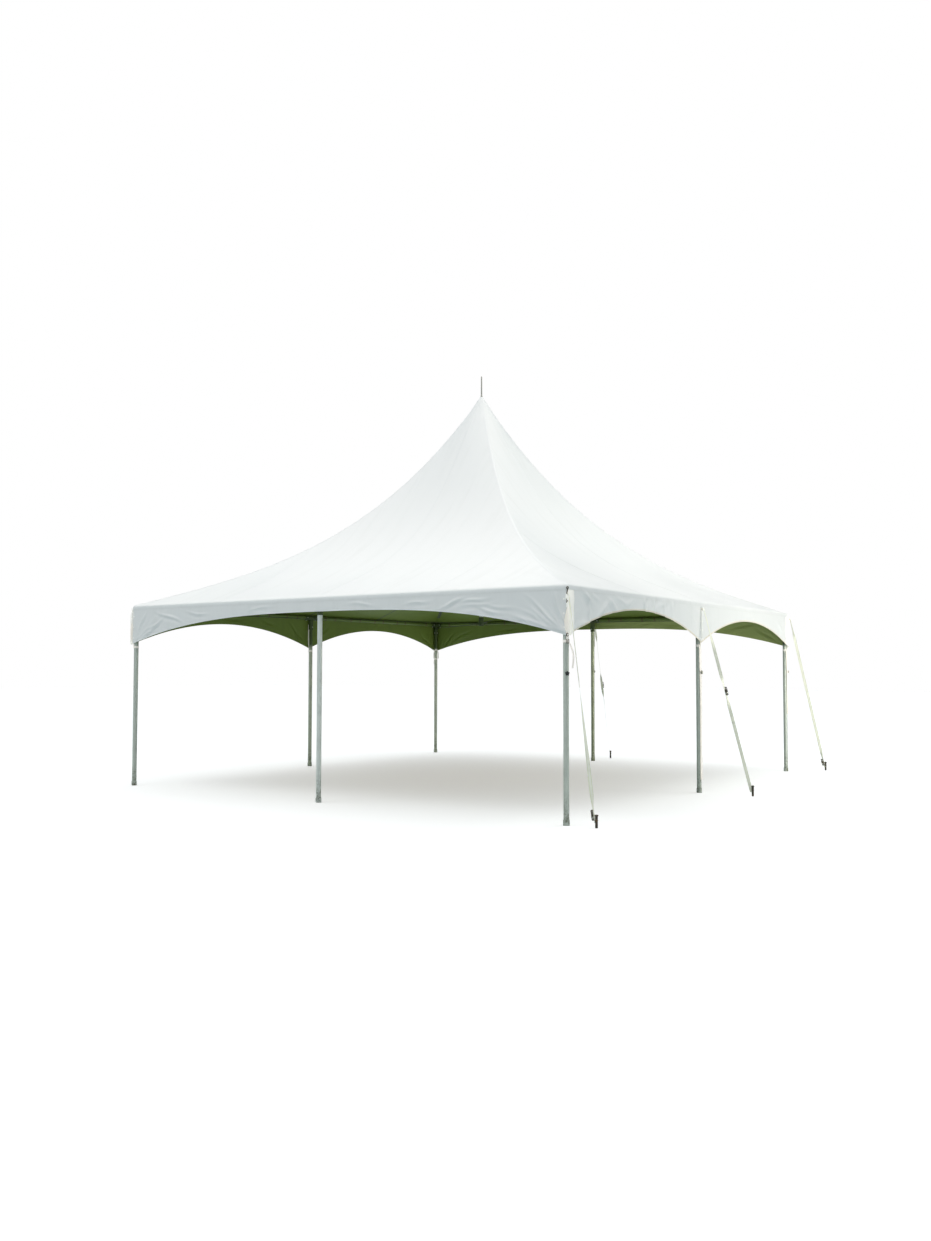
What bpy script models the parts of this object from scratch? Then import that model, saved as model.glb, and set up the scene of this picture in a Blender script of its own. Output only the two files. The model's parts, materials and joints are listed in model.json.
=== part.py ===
"""Marquee tent: a square high-peak frame tent with eight legs, 6.1 m to a side.

Row frame: the origin is the centre of the front left foot, on the ground, +Z is up,
and the front side, which has one wide arch and no guys of its own, faces -Y. The
functions below work about the plan centre, and one empty carries every piece to the
row frame.
"""
import math

import bmesh
import bpy
from mathutils import Matrix, Vector

# Driving dimensions of the plan and the heights, in metres
SIDE = 6.096
EAVE_TOP = 2.205
VALANCE_POINT_Z = 1.725
ARCH_TOP_Z = 2.022
WIDE_ARCH_TOP_Z = 2.036

# Tubes, fittings and clearances
TUBE_RADIUS = 0.0265
FITTING_RADIUS = 0.0335
SOCKET_RADIUS = 0.0325
SLEEVE_LENGTH = 0.13
BORE_DEPTH = 0.08
SOCKET_LENGTH = 0.17
GAP = 0.0003
SEAT = 0.0005
SEGMENTS = 24

# Roof fabric, modelled thicker than the real cloth
FABRIC = 0.006
ROOF_LINEAR_RISE = 1.2
ROOF_CURVED_RISE = 1.63
ROOF_CURVE_POWER = 3.1
PEAK_ROUND_POWER = 6
SIDE_BOW = 0.12
PEAK_OPENING = 0.045
ROOF_ROWS = 13
ROOF_COLUMNS = 12
ROOF_ROW_POWER = 1.4
ROLL_STEPS = 6

# Valances: the front and back sides have one wide arch, the others two
WIDE_ARCH_SIDES = ("front", "back")
WIDE_ARCH_POWER = 2.9
BAY_ARCH_POWER = 2.0
ARCH_COLUMNS = 16
CORNER_SLOT = 0.008
SLIT_HALF_WIDTH = 0.006
SLIT_TOP_Z = 2.15

# Legs and their feet
FOOT_RADIUS = 0.031
FOOT_HEIGHT = 0.05
KNOB_RADIUS = 0.016
KNOB_LENGTH = 0.022
KNOB_HEIGHT = 1.38

# Mast, cables and finial
MAST_FOOT_Z = 1.985
MAST_SOCKET_HEIGHT = 0.115
MAST_BORE_FLOOR = 0.03
CABLE_RADIUS = 0.005
CABLE_SEGMENTS = 12
CORNER_LUG_REACH = 0.065
MAST_LUG_REACH = 0.075
LUG_THICKNESS = 0.008
LUG_HEIGHT = 0.03
LUG_DROP = 0.058
FINIAL_RADIUS = 0.010
FINIAL_TOP_Z = 5.304
CROWN_TIP_Z = 5.02
CROWN_TIP = 0.3
CROWN_NECK = 0.75
CROWN_CAP = 1.5
CROWN_CONE = 2.0
CROWN_RIM = 0.005
CROWN_DEPTH = 0.04
CROWN_CLEARANCE = 0.002

# Guy straps, ratchets and stakes
EAR_THICKNESS = 0.006
CORNER_EAR_REACH = 0.088
MIDDLE_EAR_REACH = 0.072
STAKE_RADIUS = 0.0125
STAKE_HEIGHT = 0.12
STAKE_HEAD_RADIUS = 0.018
STAKE_HEAD_HEIGHT = 0.012
STRAP_WIDTH = 0.034
STRAP_THICKNESS = 0.003
STRAP_FOOT_Z = 0.045
RATCHET_WIDTH = 0.044
RATCHET_LENGTH = 0.10
RATCHET_DEPTH = 0.022
RATCHET_LOW_Z = 0.115
RATCHET_HIGH_Z = 1.165

# Values worked out from the dimensions above
HALF = SIDE / 2
EAVE_ROLL = FITTING_RADIUS + SEAT + FABRIC
ROOT_TWO = math.sqrt(2)


def eave_tangent(roll):
    """Slope angle of the roof at the eave, and the hip distance of that line."""
    angle = math.radians(20)
    for _ in range(20):
        reach = ROOT_TWO * (HALF + roll * math.sin(angle))
        angle = math.atan(ROOT_TWO * ROOF_LINEAR_RISE / reach)
    return angle, reach


EAVE_ANGLE, HIP_REACH = eave_tangent(EAVE_ROLL)
EAVE_AXIS_Z = EAVE_TOP - EAVE_ROLL * math.cos(EAVE_ANGLE)
LUG_Z = EAVE_AXIS_Z - LUG_DROP

# Leg places, as plan directions from the centre, and what each one carries
POSTS = {
    "front_left": (-1, -1),
    "front_middle": (0, -1),
    "front_right": (1, -1),
    "right_middle": (1, 0),
    "back_right": (1, 1),
    "back_middle": (0, 1),
    "back_left": (-1, 1),
    "left_middle": (-1, 0),
}

# Guyed posts: plan direction of the guy in degrees, how far out its stake
# stands, the height of its ratchet, and the strap face that it lies on
GUYS = {
    "front_right": (0, 0.31, RATCHET_LOW_Z, -1),
    "right_middle": (0, 0.64, RATCHET_HIGH_Z, 1),
    "back_right": (45, 0.60, RATCHET_LOW_Z, -1),
    "back_middle": (90, 0.58, RATCHET_HIGH_Z, 1),
}
SIDES = {"front": 0, "right": 90, "back": 180, "left": 270}

# Colour, roughness and metallic value of each material
FINISHES = {
    "vinyl": ((0.86, 0.87, 0.86), 0.45, 0.0),
    "tube": ((0.50, 0.53, 0.50), 0.42, 0.9),
    "fitting": ((0.34, 0.36, 0.35), 0.50, 0.9),
    "cable": ((0.30, 0.31, 0.30), 0.45, 1.0),
    "strap": ((0.58, 0.56, 0.42), 0.85, 0.0),
    "ratchet": ((0.05, 0.05, 0.05), 0.50, 0.6),
    "stake": ((0.12, 0.12, 0.11), 0.60, 0.8),
    "finial": ((0.52, 0.50, 0.45), 0.50, 0.6),
}


def clear_scene():
    """Remove what the opened file holds."""
    for item in list(bpy.data.objects):
        bpy.data.objects.remove(item, do_unlink=True)


def material(finish):
    """The Principled material of one finish, made once."""
    found = bpy.data.materials.get(finish)
    if found:
        return found
    colour, roughness, metallic = FINISHES[finish]
    made = bpy.data.materials.new(finish)
    made.use_nodes = True
    shader = made.node_tree.nodes["Principled BSDF"]
    shader.inputs["Base Color"].default_value = (*colour, 1.0)
    shader.inputs["Roughness"].default_value = roughness
    shader.inputs["Metallic"].default_value = metallic
    return made


def link(name, mesh, finish, smooth_angle=35):
    """One named object with its own material, shaded smooth up to an angle."""
    mesh.materials.clear()
    mesh.materials.append(material(finish))
    mesh.shade_smooth()
    mesh.set_sharp_from_angle(angle=math.radians(smooth_angle))
    item = bpy.data.objects.new(name, mesh)
    item.parent = plan_centre()
    bpy.context.scene.collection.objects.link(item)
    return item


def plan_centre():
    """The empty at the plan centre that carries every piece, made once."""
    found = bpy.data.objects.get("plan_centre")
    if found:
        return found
    made = bpy.data.objects.new("plan_centre", None)
    made.location = (HALF, HALF, 0)
    bpy.context.scene.collection.objects.link(made)
    return made


def turned_to(direction):
    """The rotation that carries +Z onto a direction, keeping X level."""
    z_axis = Vector(direction).normalized()
    if abs(z_axis.z) > 0.999:
        return Matrix.Identity(4)
    x_axis = Vector((0, 0, 1)).cross(z_axis).normalized()
    y_axis = z_axis.cross(x_axis)
    return Matrix((x_axis, y_axis, z_axis)).transposed().to_4x4()


def rod_mesh(start, end, radius, segments=SEGMENTS):
    """A round bar between two points."""
    start, end = Vector(start), Vector(end)
    span = end - start
    place = Matrix.Translation((start + end) / 2) @ turned_to(span)
    shape = bmesh.new()
    bmesh.ops.create_cone(shape, cap_ends=True, segments=segments, radius1=radius,
                          radius2=radius, depth=span.length, matrix=place)
    mesh = bpy.data.meshes.new("rod")
    shape.to_mesh(mesh)
    shape.free()
    return mesh


def block_mesh(centre, sizes, turn=Matrix.Identity(4)):
    """A box of three sizes about a centre, turned by a rotation."""
    place = Matrix.Translation(centre) @ turn @ Matrix.Diagonal((*sizes, 1.0))
    shape = bmesh.new()
    bmesh.ops.create_cube(shape, size=1.0, matrix=place)
    mesh = bpy.data.meshes.new("block")
    shape.to_mesh(mesh)
    shape.free()
    return mesh


def combined(solids, cutters=()):
    """One mesh: the solids joined, with the cutters taken away."""
    base = bpy.data.objects.new("base", solids[0])
    bpy.context.scene.collection.objects.link(base)
    helpers = []
    for operation, meshes in (("UNION", solids[1:]), ("DIFFERENCE", cutters)):
        for mesh in meshes:
            helper = bpy.data.objects.new("helper", mesh)
            bpy.context.scene.collection.objects.link(helper)
            helper.hide_render = True
            helper.display_type = "WIRE"
            helpers.append(helper)
            step = base.modifiers.new("join", "BOOLEAN")
            step.operation = operation
            step.object = helper
    evaluated = base.evaluated_get(bpy.context.evaluated_depsgraph_get())
    mesh = bpy.data.meshes.new_from_object(evaluated)
    for item in (base, *helpers):
        bpy.data.objects.remove(item, do_unlink=True)
    return mesh


def outward(post):
    """The level unit vector from the tent's centre to a post."""
    return Vector((*POSTS[post], 0)).normalized()


def foot_point(post):
    """Where a post's axis meets the ground."""
    across, along = POSTS[post]
    return Vector((across * HALF, along * HALF, 0))


def about_up(degrees):
    """A rotation about the vertical."""
    return Matrix.Rotation(math.radians(degrees), 4, "Z")


def hip_height(reach):
    """Height of the roof's hip at a distance from the mast, along the diagonal."""
    inward = 1 - reach / HIP_REACH
    curved = ROOF_CURVED_RISE * inward ** ROOF_CURVE_POWER
    return EAVE_TOP + ROOF_LINEAR_RISE * inward + curved


def squareness(reach):
    """How square the roof's level section is: 0 is round, 1 has straight sides."""
    share = reach / HIP_REACH
    round_part = (1 - share) ** PEAK_ROUND_POWER
    return 1 - round_part + SIDE_BOW * math.sin(math.pi * share) ** 2


def roof_section(reach, slant):
    """Distance from the mast, square to the side, at a slant across the panel."""
    square = squareness(reach)
    cosine = 1 / math.hypot(1, slant)
    return cosine * reach / (square * ROOT_TWO * cosine + 1 - square)


def steepness(reach):
    """Rise of the roof for each metre inward, across the side."""
    step = 0.01
    return ROOT_TWO * (hip_height(reach - step) - hip_height(reach + step)) / (2 * step)


def roof_rows():
    """Hip distance, outer height and inner height of each row, from the peak down."""
    rows = []
    for index in range(ROOF_ROWS):
        share = (index / ROOF_ROWS) ** ROOF_ROW_POWER
        reach = PEAK_OPENING + (HIP_REACH - PEAK_OPENING) * share
        drop = FABRIC * math.hypot(1, steepness(reach))
        height = hip_height(reach)
        rows.append((reach, height, height - drop))
    return rows


def roll_rows():
    """Distance and height of the round eave's outer and inner points, from its top."""
    rows = []
    for index in range(ROLL_STEPS + 1):
        angle = EAVE_ANGLE + (math.pi / 2 - EAVE_ANGLE) * index / ROLL_STEPS
        rows.append([(HALF + radius * math.sin(angle), EAVE_AXIS_Z + radius * math.cos(angle))
                     for radius in (EAVE_ROLL, EAVE_ROLL - FABRIC)])
    return rows


def shell_mesh(outer, inner):
    """A closed shell between two grids of points with the same rows and columns."""
    shape = bmesh.new()
    grid = [[shape.verts.new(point) for point in row] for row in outer]
    faces = []
    for upper, lower in zip(grid, grid[1:]):
        for column in range(len(upper) - 1):
            corners = (upper[column], lower[column], lower[column + 1], upper[column + 1])
            faces.append(shape.faces.new(corners))
    made = bmesh.ops.extrude_face_region(shape, geom=faces, use_keep_orig=True)
    moved = [item for item in made["geom"] if isinstance(item, bmesh.types.BMVert)]
    keyed = {tuple(vert.co): vert for vert in moved}
    for row_a, row_b in zip(grid, inner):
        for vert, point in zip(row_a, row_b):
            keyed[tuple(vert.co)].co = point
    bmesh.ops.triangulate(shape, faces=shape.faces)
    bmesh.ops.recalc_face_normals(shape, faces=shape.faces)
    mesh = bpy.data.meshes.new("shell")
    shape.to_mesh(mesh)
    shape.free()
    return mesh


def roof_panel(side):
    """One of the four roof panels, from the peak over the round eave."""
    slants = [2 * column / ROOF_COLUMNS - 1 for column in range(ROOF_COLUMNS + 1)]
    outer, inner = [], []
    for reach, outer_z, inner_z in roof_rows():
        distances = [roof_section(reach, slant) for slant in slants]
        places = [(slant * (away - GAP), -away) for slant, away in zip(slants, distances)]
        outer.append([(x, y, outer_z) for x, y in places])
        inner.append([(x, y, inner_z) for x, y in places])
    for outer_point, inner_point in roll_rows():
        for away, height, grid in ((*outer_point, outer), (*inner_point, inner)):
            grid.append([(slant * (away - GAP), -away, height) for slant in slants])
    mesh = shell_mesh(outer, inner)
    mesh.transform(about_up(SIDES[side]))
    return link("roof_" + side, mesh, "vinyl", 60)


def arch_height(place, centre, half_span, top, power):
    """Height of a valance's lower edge under one arch."""
    away = min(abs(place - centre) / half_span, 1.0)
    return top - (top - VALANCE_POINT_Z) * away ** power


def valance_edge(side):
    """Points along a valance's lower edge, from its left end to its right."""
    end = HALF + EAVE_ROLL - CORNER_SLOT
    if side == "front":
        stretches = ((-end, end, 2 * ARCH_COLUMNS),)
    else:
        stretches = ((-end, -SLIT_HALF_WIDTH, ARCH_COLUMNS), (SLIT_HALF_WIDTH, end, ARCH_COLUMNS))
    bays = []
    for left, right, count in stretches:
        places = [left + (right - left) * index / count for index in range(count + 1)]
        if side in WIDE_ARCH_SIDES:
            arch = (0, end, WIDE_ARCH_TOP_Z, WIDE_ARCH_POWER)
        else:
            arch = ((left + right) / 2, (right - left) / 2, ARCH_TOP_Z, BAY_ARCH_POWER)
        bays.append([(x, arch_height(x, *arch)) for x in places])
    return bays


def valance(side):
    """The hanging border of one side, with its arches and the slit at the middle leg."""
    top_z = EAVE_AXIS_Z - GAP
    bays = valance_edge(side)
    outline = []
    for bay in bays:
        if outline:
            outline.append((outline[-1][0], SLIT_TOP_Z))
            outline.append((bay[0][0], SLIT_TOP_Z))
        outline.extend(bay)
    outline.append((outline[-1][0], top_z))
    outline.append((outline[0][0], top_z))
    outer_y = -(HALF + EAVE_ROLL)
    shape = bmesh.new()
    front = shape.faces.new([shape.verts.new((x, outer_y, z)) for x, z in outline])
    made = bmesh.ops.extrude_face_region(shape, geom=[front], use_keep_orig=True)
    for item in made["geom"]:
        if isinstance(item, bmesh.types.BMVert):
            item.co.y += FABRIC
            item.co.x -= math.copysign(FABRIC, item.co.x) if abs(item.co.x) > HALF else 0
    bmesh.ops.triangulate(shape, faces=shape.faces)
    bmesh.ops.recalc_face_normals(shape, faces=shape.faces)
    mesh = bpy.data.meshes.new("valance")
    shape.to_mesh(mesh)
    shape.free()
    mesh.transform(about_up(SIDES[side]))
    return link("valance_" + side, mesh, "vinyl")


def leg(post):
    """A leg tube with its foot ferrule, and the knob that guyed legs have."""
    ground = foot_point(post)
    top = EAVE_AXIS_Z - SOCKET_LENGTH + BORE_DEPTH - GAP
    up = Vector((0, 0, 1))
    tube = rod_mesh(ground + up * (FOOT_HEIGHT / 2), ground + up * top, TUBE_RADIUS)
    ferrule = rod_mesh(ground, ground + up * FOOT_HEIGHT, FOOT_RADIUS)
    solids = [ferrule, tube]
    if post in GUYS:
        base = ground + up * KNOB_HEIGHT
        tip = base + outward(post) * (TUBE_RADIUS + KNOB_LENGTH)
        solids.append(rod_mesh(base, tip, KNOB_RADIUS))
    return link("leg_" + post, combined(solids), "tube")


def sleeve_directions(post):
    """The level directions in which beams leave a post."""
    across, along = POSTS[post]
    if across and along:
        return [Vector((-across, 0, 0)), Vector((0, -along, 0))]
    line = Vector((along, across, 0))
    return [line, -line]


def fitting(post):
    """The cast fitting that joins a leg to its two beams."""
    heart = foot_point(post) + Vector((0, 0, EAVE_AXIS_Z))
    down = Vector((0, 0, -1))
    open_end = heart + down * SOCKET_LENGTH
    solids = [rod_mesh(heart, open_end, SOCKET_RADIUS)]
    cutters = [rod_mesh(open_end - down * BORE_DEPTH, open_end + down * GAP,
                        TUBE_RADIUS + GAP)]
    for direction in sleeve_directions(post):
        mouth = heart + direction * SLEEVE_LENGTH
        solids.append(rod_mesh(heart - direction * GAP, mouth, FITTING_RADIUS))
        cutters.append(rod_mesh(mouth - direction * BORE_DEPTH, mouth + direction * GAP,
                                TUBE_RADIUS + GAP))
    lugs = lug_reaches(post)
    if lugs:
        inner, outer, thickness = lugs
        away = outward(post)
        middle = heart + down * LUG_DROP + away * (outer - inner) / 2
        turn = Matrix.Rotation(math.atan2(away.y, away.x), 4, "Z")
        solids.append(block_mesh(middle, (outer + inner, thickness, LUG_HEIGHT), turn))
    return link("fitting_" + post, combined(solids, cutters), "fitting")


def lug_reaches(post):
    """How far a fitting's plate reaches inward and outward, and how thick it is."""
    corner = 0 not in POSTS[post]
    if post in GUYS:
        reach = CORNER_EAR_REACH if corner else MIDDLE_EAR_REACH
        return (CORNER_LUG_REACH if corner else 0.0), reach, EAR_THICKNESS
    if corner:
        return CORNER_LUG_REACH, 0.0, EAR_THICKNESS
    return None


def beam(start, end):
    """An eave beam between two fittings, its ends inside their sleeves."""
    up = Vector((0, 0, EAVE_AXIS_Z))
    first, last = foot_point(start) + up, foot_point(end) + up
    along = (last - first).normalized()
    inset = SLEEVE_LENGTH - BORE_DEPTH + GAP
    mesh = rod_mesh(first + along * inset, last - along * inset, TUBE_RADIUS)
    return link("beam_" + start + "_to_" + end, mesh, "tube")


def mast():
    """The centre mast, from its foot to the crown."""
    bottom = MAST_FOOT_Z + MAST_BORE_FLOOR + GAP
    mesh = rod_mesh((0, 0, bottom), (0, 0, mast_top()), TUBE_RADIUS)
    return link("mast", mesh, "tube")


def mast_top():
    """Where the mast ends, just below the cone that carries the fabric."""
    return hip_height(CROWN_CONE * PEAK_OPENING) - CROWN_DEPTH


def mast_foot():
    """The socket at the mast's lower end, with a plate for each pair of cables."""
    bottom, top = MAST_FOOT_Z, MAST_FOOT_Z + MAST_SOCKET_HEIGHT
    solids = [rod_mesh((0, 0, bottom), (0, 0, top), SOCKET_RADIUS)]
    for angle in (45, 135):
        sizes = (2 * MAST_LUG_REACH, LUG_THICKNESS, LUG_HEIGHT)
        centre = (0, 0, bottom + LUG_HEIGHT)
        solids.append(block_mesh(centre, sizes, about_up(angle)))
    bore = rod_mesh((0, 0, bottom + MAST_BORE_FLOOR), (0, 0, top + GAP), TUBE_RADIUS + GAP)
    return link("mast_foot", combined(solids, [bore]), "fitting")


def turned(name, profile, finish, steps=SEGMENTS):
    """A solid turned about the Z axis from a profile, listed from top to bottom."""
    mesh = bpy.data.meshes.new(name)
    edges = [(index, index + 1) for index in range(len(profile) - 1)]
    mesh.from_pydata([(radius, 0, height) for radius, height in profile], edges, [])
    item = link(name, mesh, finish)
    screw = item.modifiers.new("turn", "SCREW")
    screw.steps = steps
    screw.render_steps = steps
    screw.use_merge_vertices = True
    screw.merge_threshold = 0.0001
    return item


def face_height(distance):
    """Height of the roof near the peak, above the middle of a side."""
    square = squareness(distance)
    return hip_height(distance * (square * ROOT_TWO + 1 - square))


def crown():
    """The cone under the fabric at the peak, its neck and the cap above it."""
    neck = CROWN_NECK * PEAK_OPENING
    edge = CROWN_CAP * PEAK_OPENING
    wide = CROWN_CONE * PEAK_OPENING
    under = FABRIC * math.hypot(1, steepness(PEAK_OPENING)) + CROWN_CLEARANCE
    profile = [
        (0, CROWN_TIP_Z),
        (CROWN_TIP * PEAK_OPENING, CROWN_TIP_Z),
        (edge, hip_height(edge) + CROWN_CLEARANCE + CROWN_RIM),
        (edge, hip_height(edge) + CROWN_CLEARANCE),
        (neck, hip_height(neck) + CROWN_CLEARANCE),
        (neck, face_height(neck) - under),
        (wide, face_height(wide) - under),
        (wide, mast_top() + GAP),
        (0, mast_top() + GAP),
    ]
    return turned("crown", profile, "fitting")


def finial():
    """The thin rod that stands on the crown."""
    mesh = rod_mesh((0, 0, CROWN_TIP_Z + GAP), (0, 0, FINIAL_TOP_Z), FINIAL_RADIUS, 16)
    return link("finial", mesh, "finial")


def cable(post):
    """A taut stay from a corner fitting down to the mast foot."""
    away = outward(post)
    corner = foot_point(post) - away * (CORNER_LUG_REACH + SEAT)
    start = corner + Vector((0, 0, LUG_Z))
    end = away * (MAST_LUG_REACH + SEAT)
    end.z = MAST_FOOT_Z + LUG_HEIGHT
    mesh = rod_mesh(start, end, CABLE_RADIUS, CABLE_SEGMENTS)
    return link("cable_" + post, mesh, "cable")


def stake_point(post):
    """Where the stake of a guyed post stands on the ground."""
    bearing, reach, _, _ = GUYS[post]
    return foot_point(post) + about_up(bearing) @ Vector((reach, 0, 0))


def guy_ends(post):
    """The two ends of a guy strap's centre line, beside its ear and its stake."""
    away = outward(post)
    ear = CORNER_EAR_REACH if 0 not in POSTS[post] else MIDDLE_EAR_REACH
    tip = foot_point(post) + away * ear
    heading = (stake_point(post) - tip).normalized()
    clear = GAP + STRAP_THICKNESS / 2
    ear_side = abs(heading.cross(away).z) * EAR_THICKNESS / 2
    top = tip + heading * (clear + ear_side) + Vector((0, 0, LUG_Z))
    bottom = stake_point(post) - heading * (STAKE_RADIUS + clear)
    return top, bottom + Vector((0, 0, STRAP_FOOT_Z))


def strap(post):
    """The taut webbing guy of one post."""
    top, bottom = guy_ends(post)
    sizes = (STRAP_WIDTH, STRAP_THICKNESS, (top - bottom).length)
    mesh = block_mesh((top + bottom) / 2, sizes, turned_to(top - bottom))
    return link("guy_strap_" + post, mesh, "strap")


def ratchet(post):
    """The ratchet that tightens a guy, lying on one face of the strap."""
    _, _, height, face = GUYS[post]
    top, bottom = guy_ends(post)
    along = (top - bottom).normalized()
    share = (height - bottom.z) / (top.z - bottom.z)
    square = turned_to(along).col[1].to_3d()
    square = square if square.z > 0 else -square
    lift = STRAP_THICKNESS / 2 + GAP + RATCHET_DEPTH / 2
    centre = bottom.lerp(top, share) + square * (face * lift)
    sizes = (RATCHET_WIDTH, RATCHET_DEPTH, RATCHET_LENGTH)
    return link("ratchet_" + post, block_mesh(centre, sizes, turned_to(along)), "ratchet")


def stake(post):
    """The head of the stake that holds a guy, standing on the ground."""
    ground = stake_point(post)
    up = Vector((0, 0, 1))
    shank = rod_mesh(ground, ground + up * STAKE_HEIGHT, STAKE_RADIUS, 16)
    head_base = ground + up * (STAKE_HEIGHT - STAKE_HEAD_HEIGHT)
    head = rod_mesh(head_base, ground + up * (STAKE_HEIGHT + GAP), STAKE_HEAD_RADIUS, 16)
    return link("stake_" + post, combined([shank, head]), "stake")


def build():
    """All sub-parts of the tent."""
    clear_scene()
    for side in SIDES:
        roof_panel(side)
        valance(side)
    ring = list(POSTS)
    for post, following in zip(ring, ring[1:] + ring[:1]):
        leg(post)
        fitting(post)
        beam(post, following)
        if 0 not in POSTS[post]:
            cable(post)
    mast()
    mast_foot()
    crown()
    finial()
    for post in GUYS:
        strap(post)
        ratchet(post)
        stake(post)


build()
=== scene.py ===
# %% [markdown]
# # A white high-peak marquee, dressed over its frame
#
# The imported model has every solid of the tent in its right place. This lesson gives it its
# looks: one continuous roof cloth, four hanging valances with bound arches, welded seams,
# webbing guys with ratchets, and finishes for metal, cloth and webbing.
#
# Everything is in metres. The origin is the centre of the front left foot, Z is up, and the
# front side, with its one wide arch, faces -Y.

# %% Load the frame
import json
import math
from functools import partial

import bmesh
import bpy
import numpy as np
from mathutils import Matrix, Vector

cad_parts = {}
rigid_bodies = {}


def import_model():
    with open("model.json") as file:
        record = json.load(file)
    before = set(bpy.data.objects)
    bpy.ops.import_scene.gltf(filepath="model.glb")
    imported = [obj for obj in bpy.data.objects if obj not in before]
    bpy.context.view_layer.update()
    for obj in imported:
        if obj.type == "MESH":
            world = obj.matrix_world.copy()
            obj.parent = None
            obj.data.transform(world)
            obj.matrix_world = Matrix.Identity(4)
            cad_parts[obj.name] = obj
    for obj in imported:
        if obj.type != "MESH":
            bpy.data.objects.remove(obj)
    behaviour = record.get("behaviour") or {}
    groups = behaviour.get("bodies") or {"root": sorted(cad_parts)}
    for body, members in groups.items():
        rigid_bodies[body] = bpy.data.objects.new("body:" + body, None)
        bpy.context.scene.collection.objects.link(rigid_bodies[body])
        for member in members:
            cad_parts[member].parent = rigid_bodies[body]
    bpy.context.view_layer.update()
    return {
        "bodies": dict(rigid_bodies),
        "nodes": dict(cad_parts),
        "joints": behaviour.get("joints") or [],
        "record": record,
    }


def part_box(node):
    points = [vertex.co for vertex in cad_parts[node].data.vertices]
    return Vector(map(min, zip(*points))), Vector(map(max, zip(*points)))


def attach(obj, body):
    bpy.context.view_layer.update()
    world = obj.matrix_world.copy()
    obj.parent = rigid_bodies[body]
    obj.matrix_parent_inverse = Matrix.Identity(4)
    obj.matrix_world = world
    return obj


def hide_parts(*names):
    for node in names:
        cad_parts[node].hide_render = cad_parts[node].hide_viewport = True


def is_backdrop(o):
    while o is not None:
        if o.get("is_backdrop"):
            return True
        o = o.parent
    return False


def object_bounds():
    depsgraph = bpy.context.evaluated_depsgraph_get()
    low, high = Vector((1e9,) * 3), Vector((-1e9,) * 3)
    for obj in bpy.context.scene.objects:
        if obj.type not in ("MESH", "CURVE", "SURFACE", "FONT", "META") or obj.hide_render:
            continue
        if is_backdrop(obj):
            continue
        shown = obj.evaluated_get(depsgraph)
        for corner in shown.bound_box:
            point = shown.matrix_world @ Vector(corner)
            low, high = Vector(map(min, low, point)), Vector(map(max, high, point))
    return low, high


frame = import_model()

# %% [markdown]
# ## The sizes that the cloth follows
#
# A tent like this is set out from a few lengths: the side between the leg axes, the height
# of the eave, the round of cloth over the eave beam, and the rise of the roof. The roof has
# no rafters. Cables and a short mast push its middle up, so each hip is a hanging curve:
# a nearly straight lower part, and a steep end at the peak. The two rises below give that.

# %% Sizes
SIDE = 6.096
HALF = SIDE / 2
EAVE_TOP = 2.205
EAVE_ROLL = 0.040
LINEAR_RISE = 1.2
CURVED_RISE = 1.63
CURVE_POWER = 3.1
ROOT_TWO = math.sqrt(2)

EAVE_ANGLE = math.radians(20)
for _ in range(20):
    HIP_REACH = ROOT_TWO * (HALF + EAVE_ROLL * math.sin(EAVE_ANGLE))
    EAVE_ANGLE = math.atan(ROOT_TWO * LINEAR_RISE / HIP_REACH)
EAVE_AXIS_Z = EAVE_TOP - EAVE_ROLL * math.cos(EAVE_ANGLE)

SIDES = {"front": 0, "right": 1, "back": 2, "left": 3}
POSTS = {"front_left": (-1, -1), "front_middle": (0, -1), "front_right": (1, -1),
         "right_middle": (1, 0), "back_right": (1, 1), "back_middle": (0, 1),
         "back_left": (-1, 1), "left_middle": (-1, 0)}
CORNERS = [post for post in POSTS if 0 not in POSTS[post]]
CENTRE = Vector((HALF, HALF, 0))
UP = Vector((0, 0, 1))
print("eave angle", round(math.degrees(EAVE_ANGLE), 2), "hip reach", round(HIP_REACH, 3))


def post_point(post, height=0.0):
    """A point on a leg's axis."""
    across, along = POSTS[post]
    return CENTRE + Vector((across * HALF, along * HALF, height))


def level(direction, angle=0.0):
    """A level direction turned about Z."""
    return Matrix.Rotation(angle, 3, "Z") @ Vector(direction)


def outward(post, angle=0.0):
    """The level direction from the mast to a leg, or one turned from it."""
    return level(Vector((*POSTS[post], 0)).normalized(), angle)


# %% [markdown]
# ## One formula for numbers and for nodes
#
# The roof is a rule, so Geometry Nodes can make it. The seams have to lie on the same surface,
# and ordinary Python makes them. To write the rule only once, the class below stands for an
# output in a node tree: adding or multiplying two of them adds a Math node. The same function
# then works on arrays of numbers and on fields, and finishes can be written as sums too.

# %% Numbers inside a node tree
def node(tree, kind, inputs=None, output=0, **settings):
    """One output of a new node; inputs are values or outputs of other nodes."""
    made = tree.nodes.new(kind)
    for key, value in settings.items():
        setattr(made, key, value)
    for key, value in (inputs or {}).items():
        if isinstance(value, Field):
            tree.links.new(value.socket, made.inputs[key])
        else:
            made.inputs[key].default_value = value
    return Field(tree, made.outputs[output])


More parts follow.
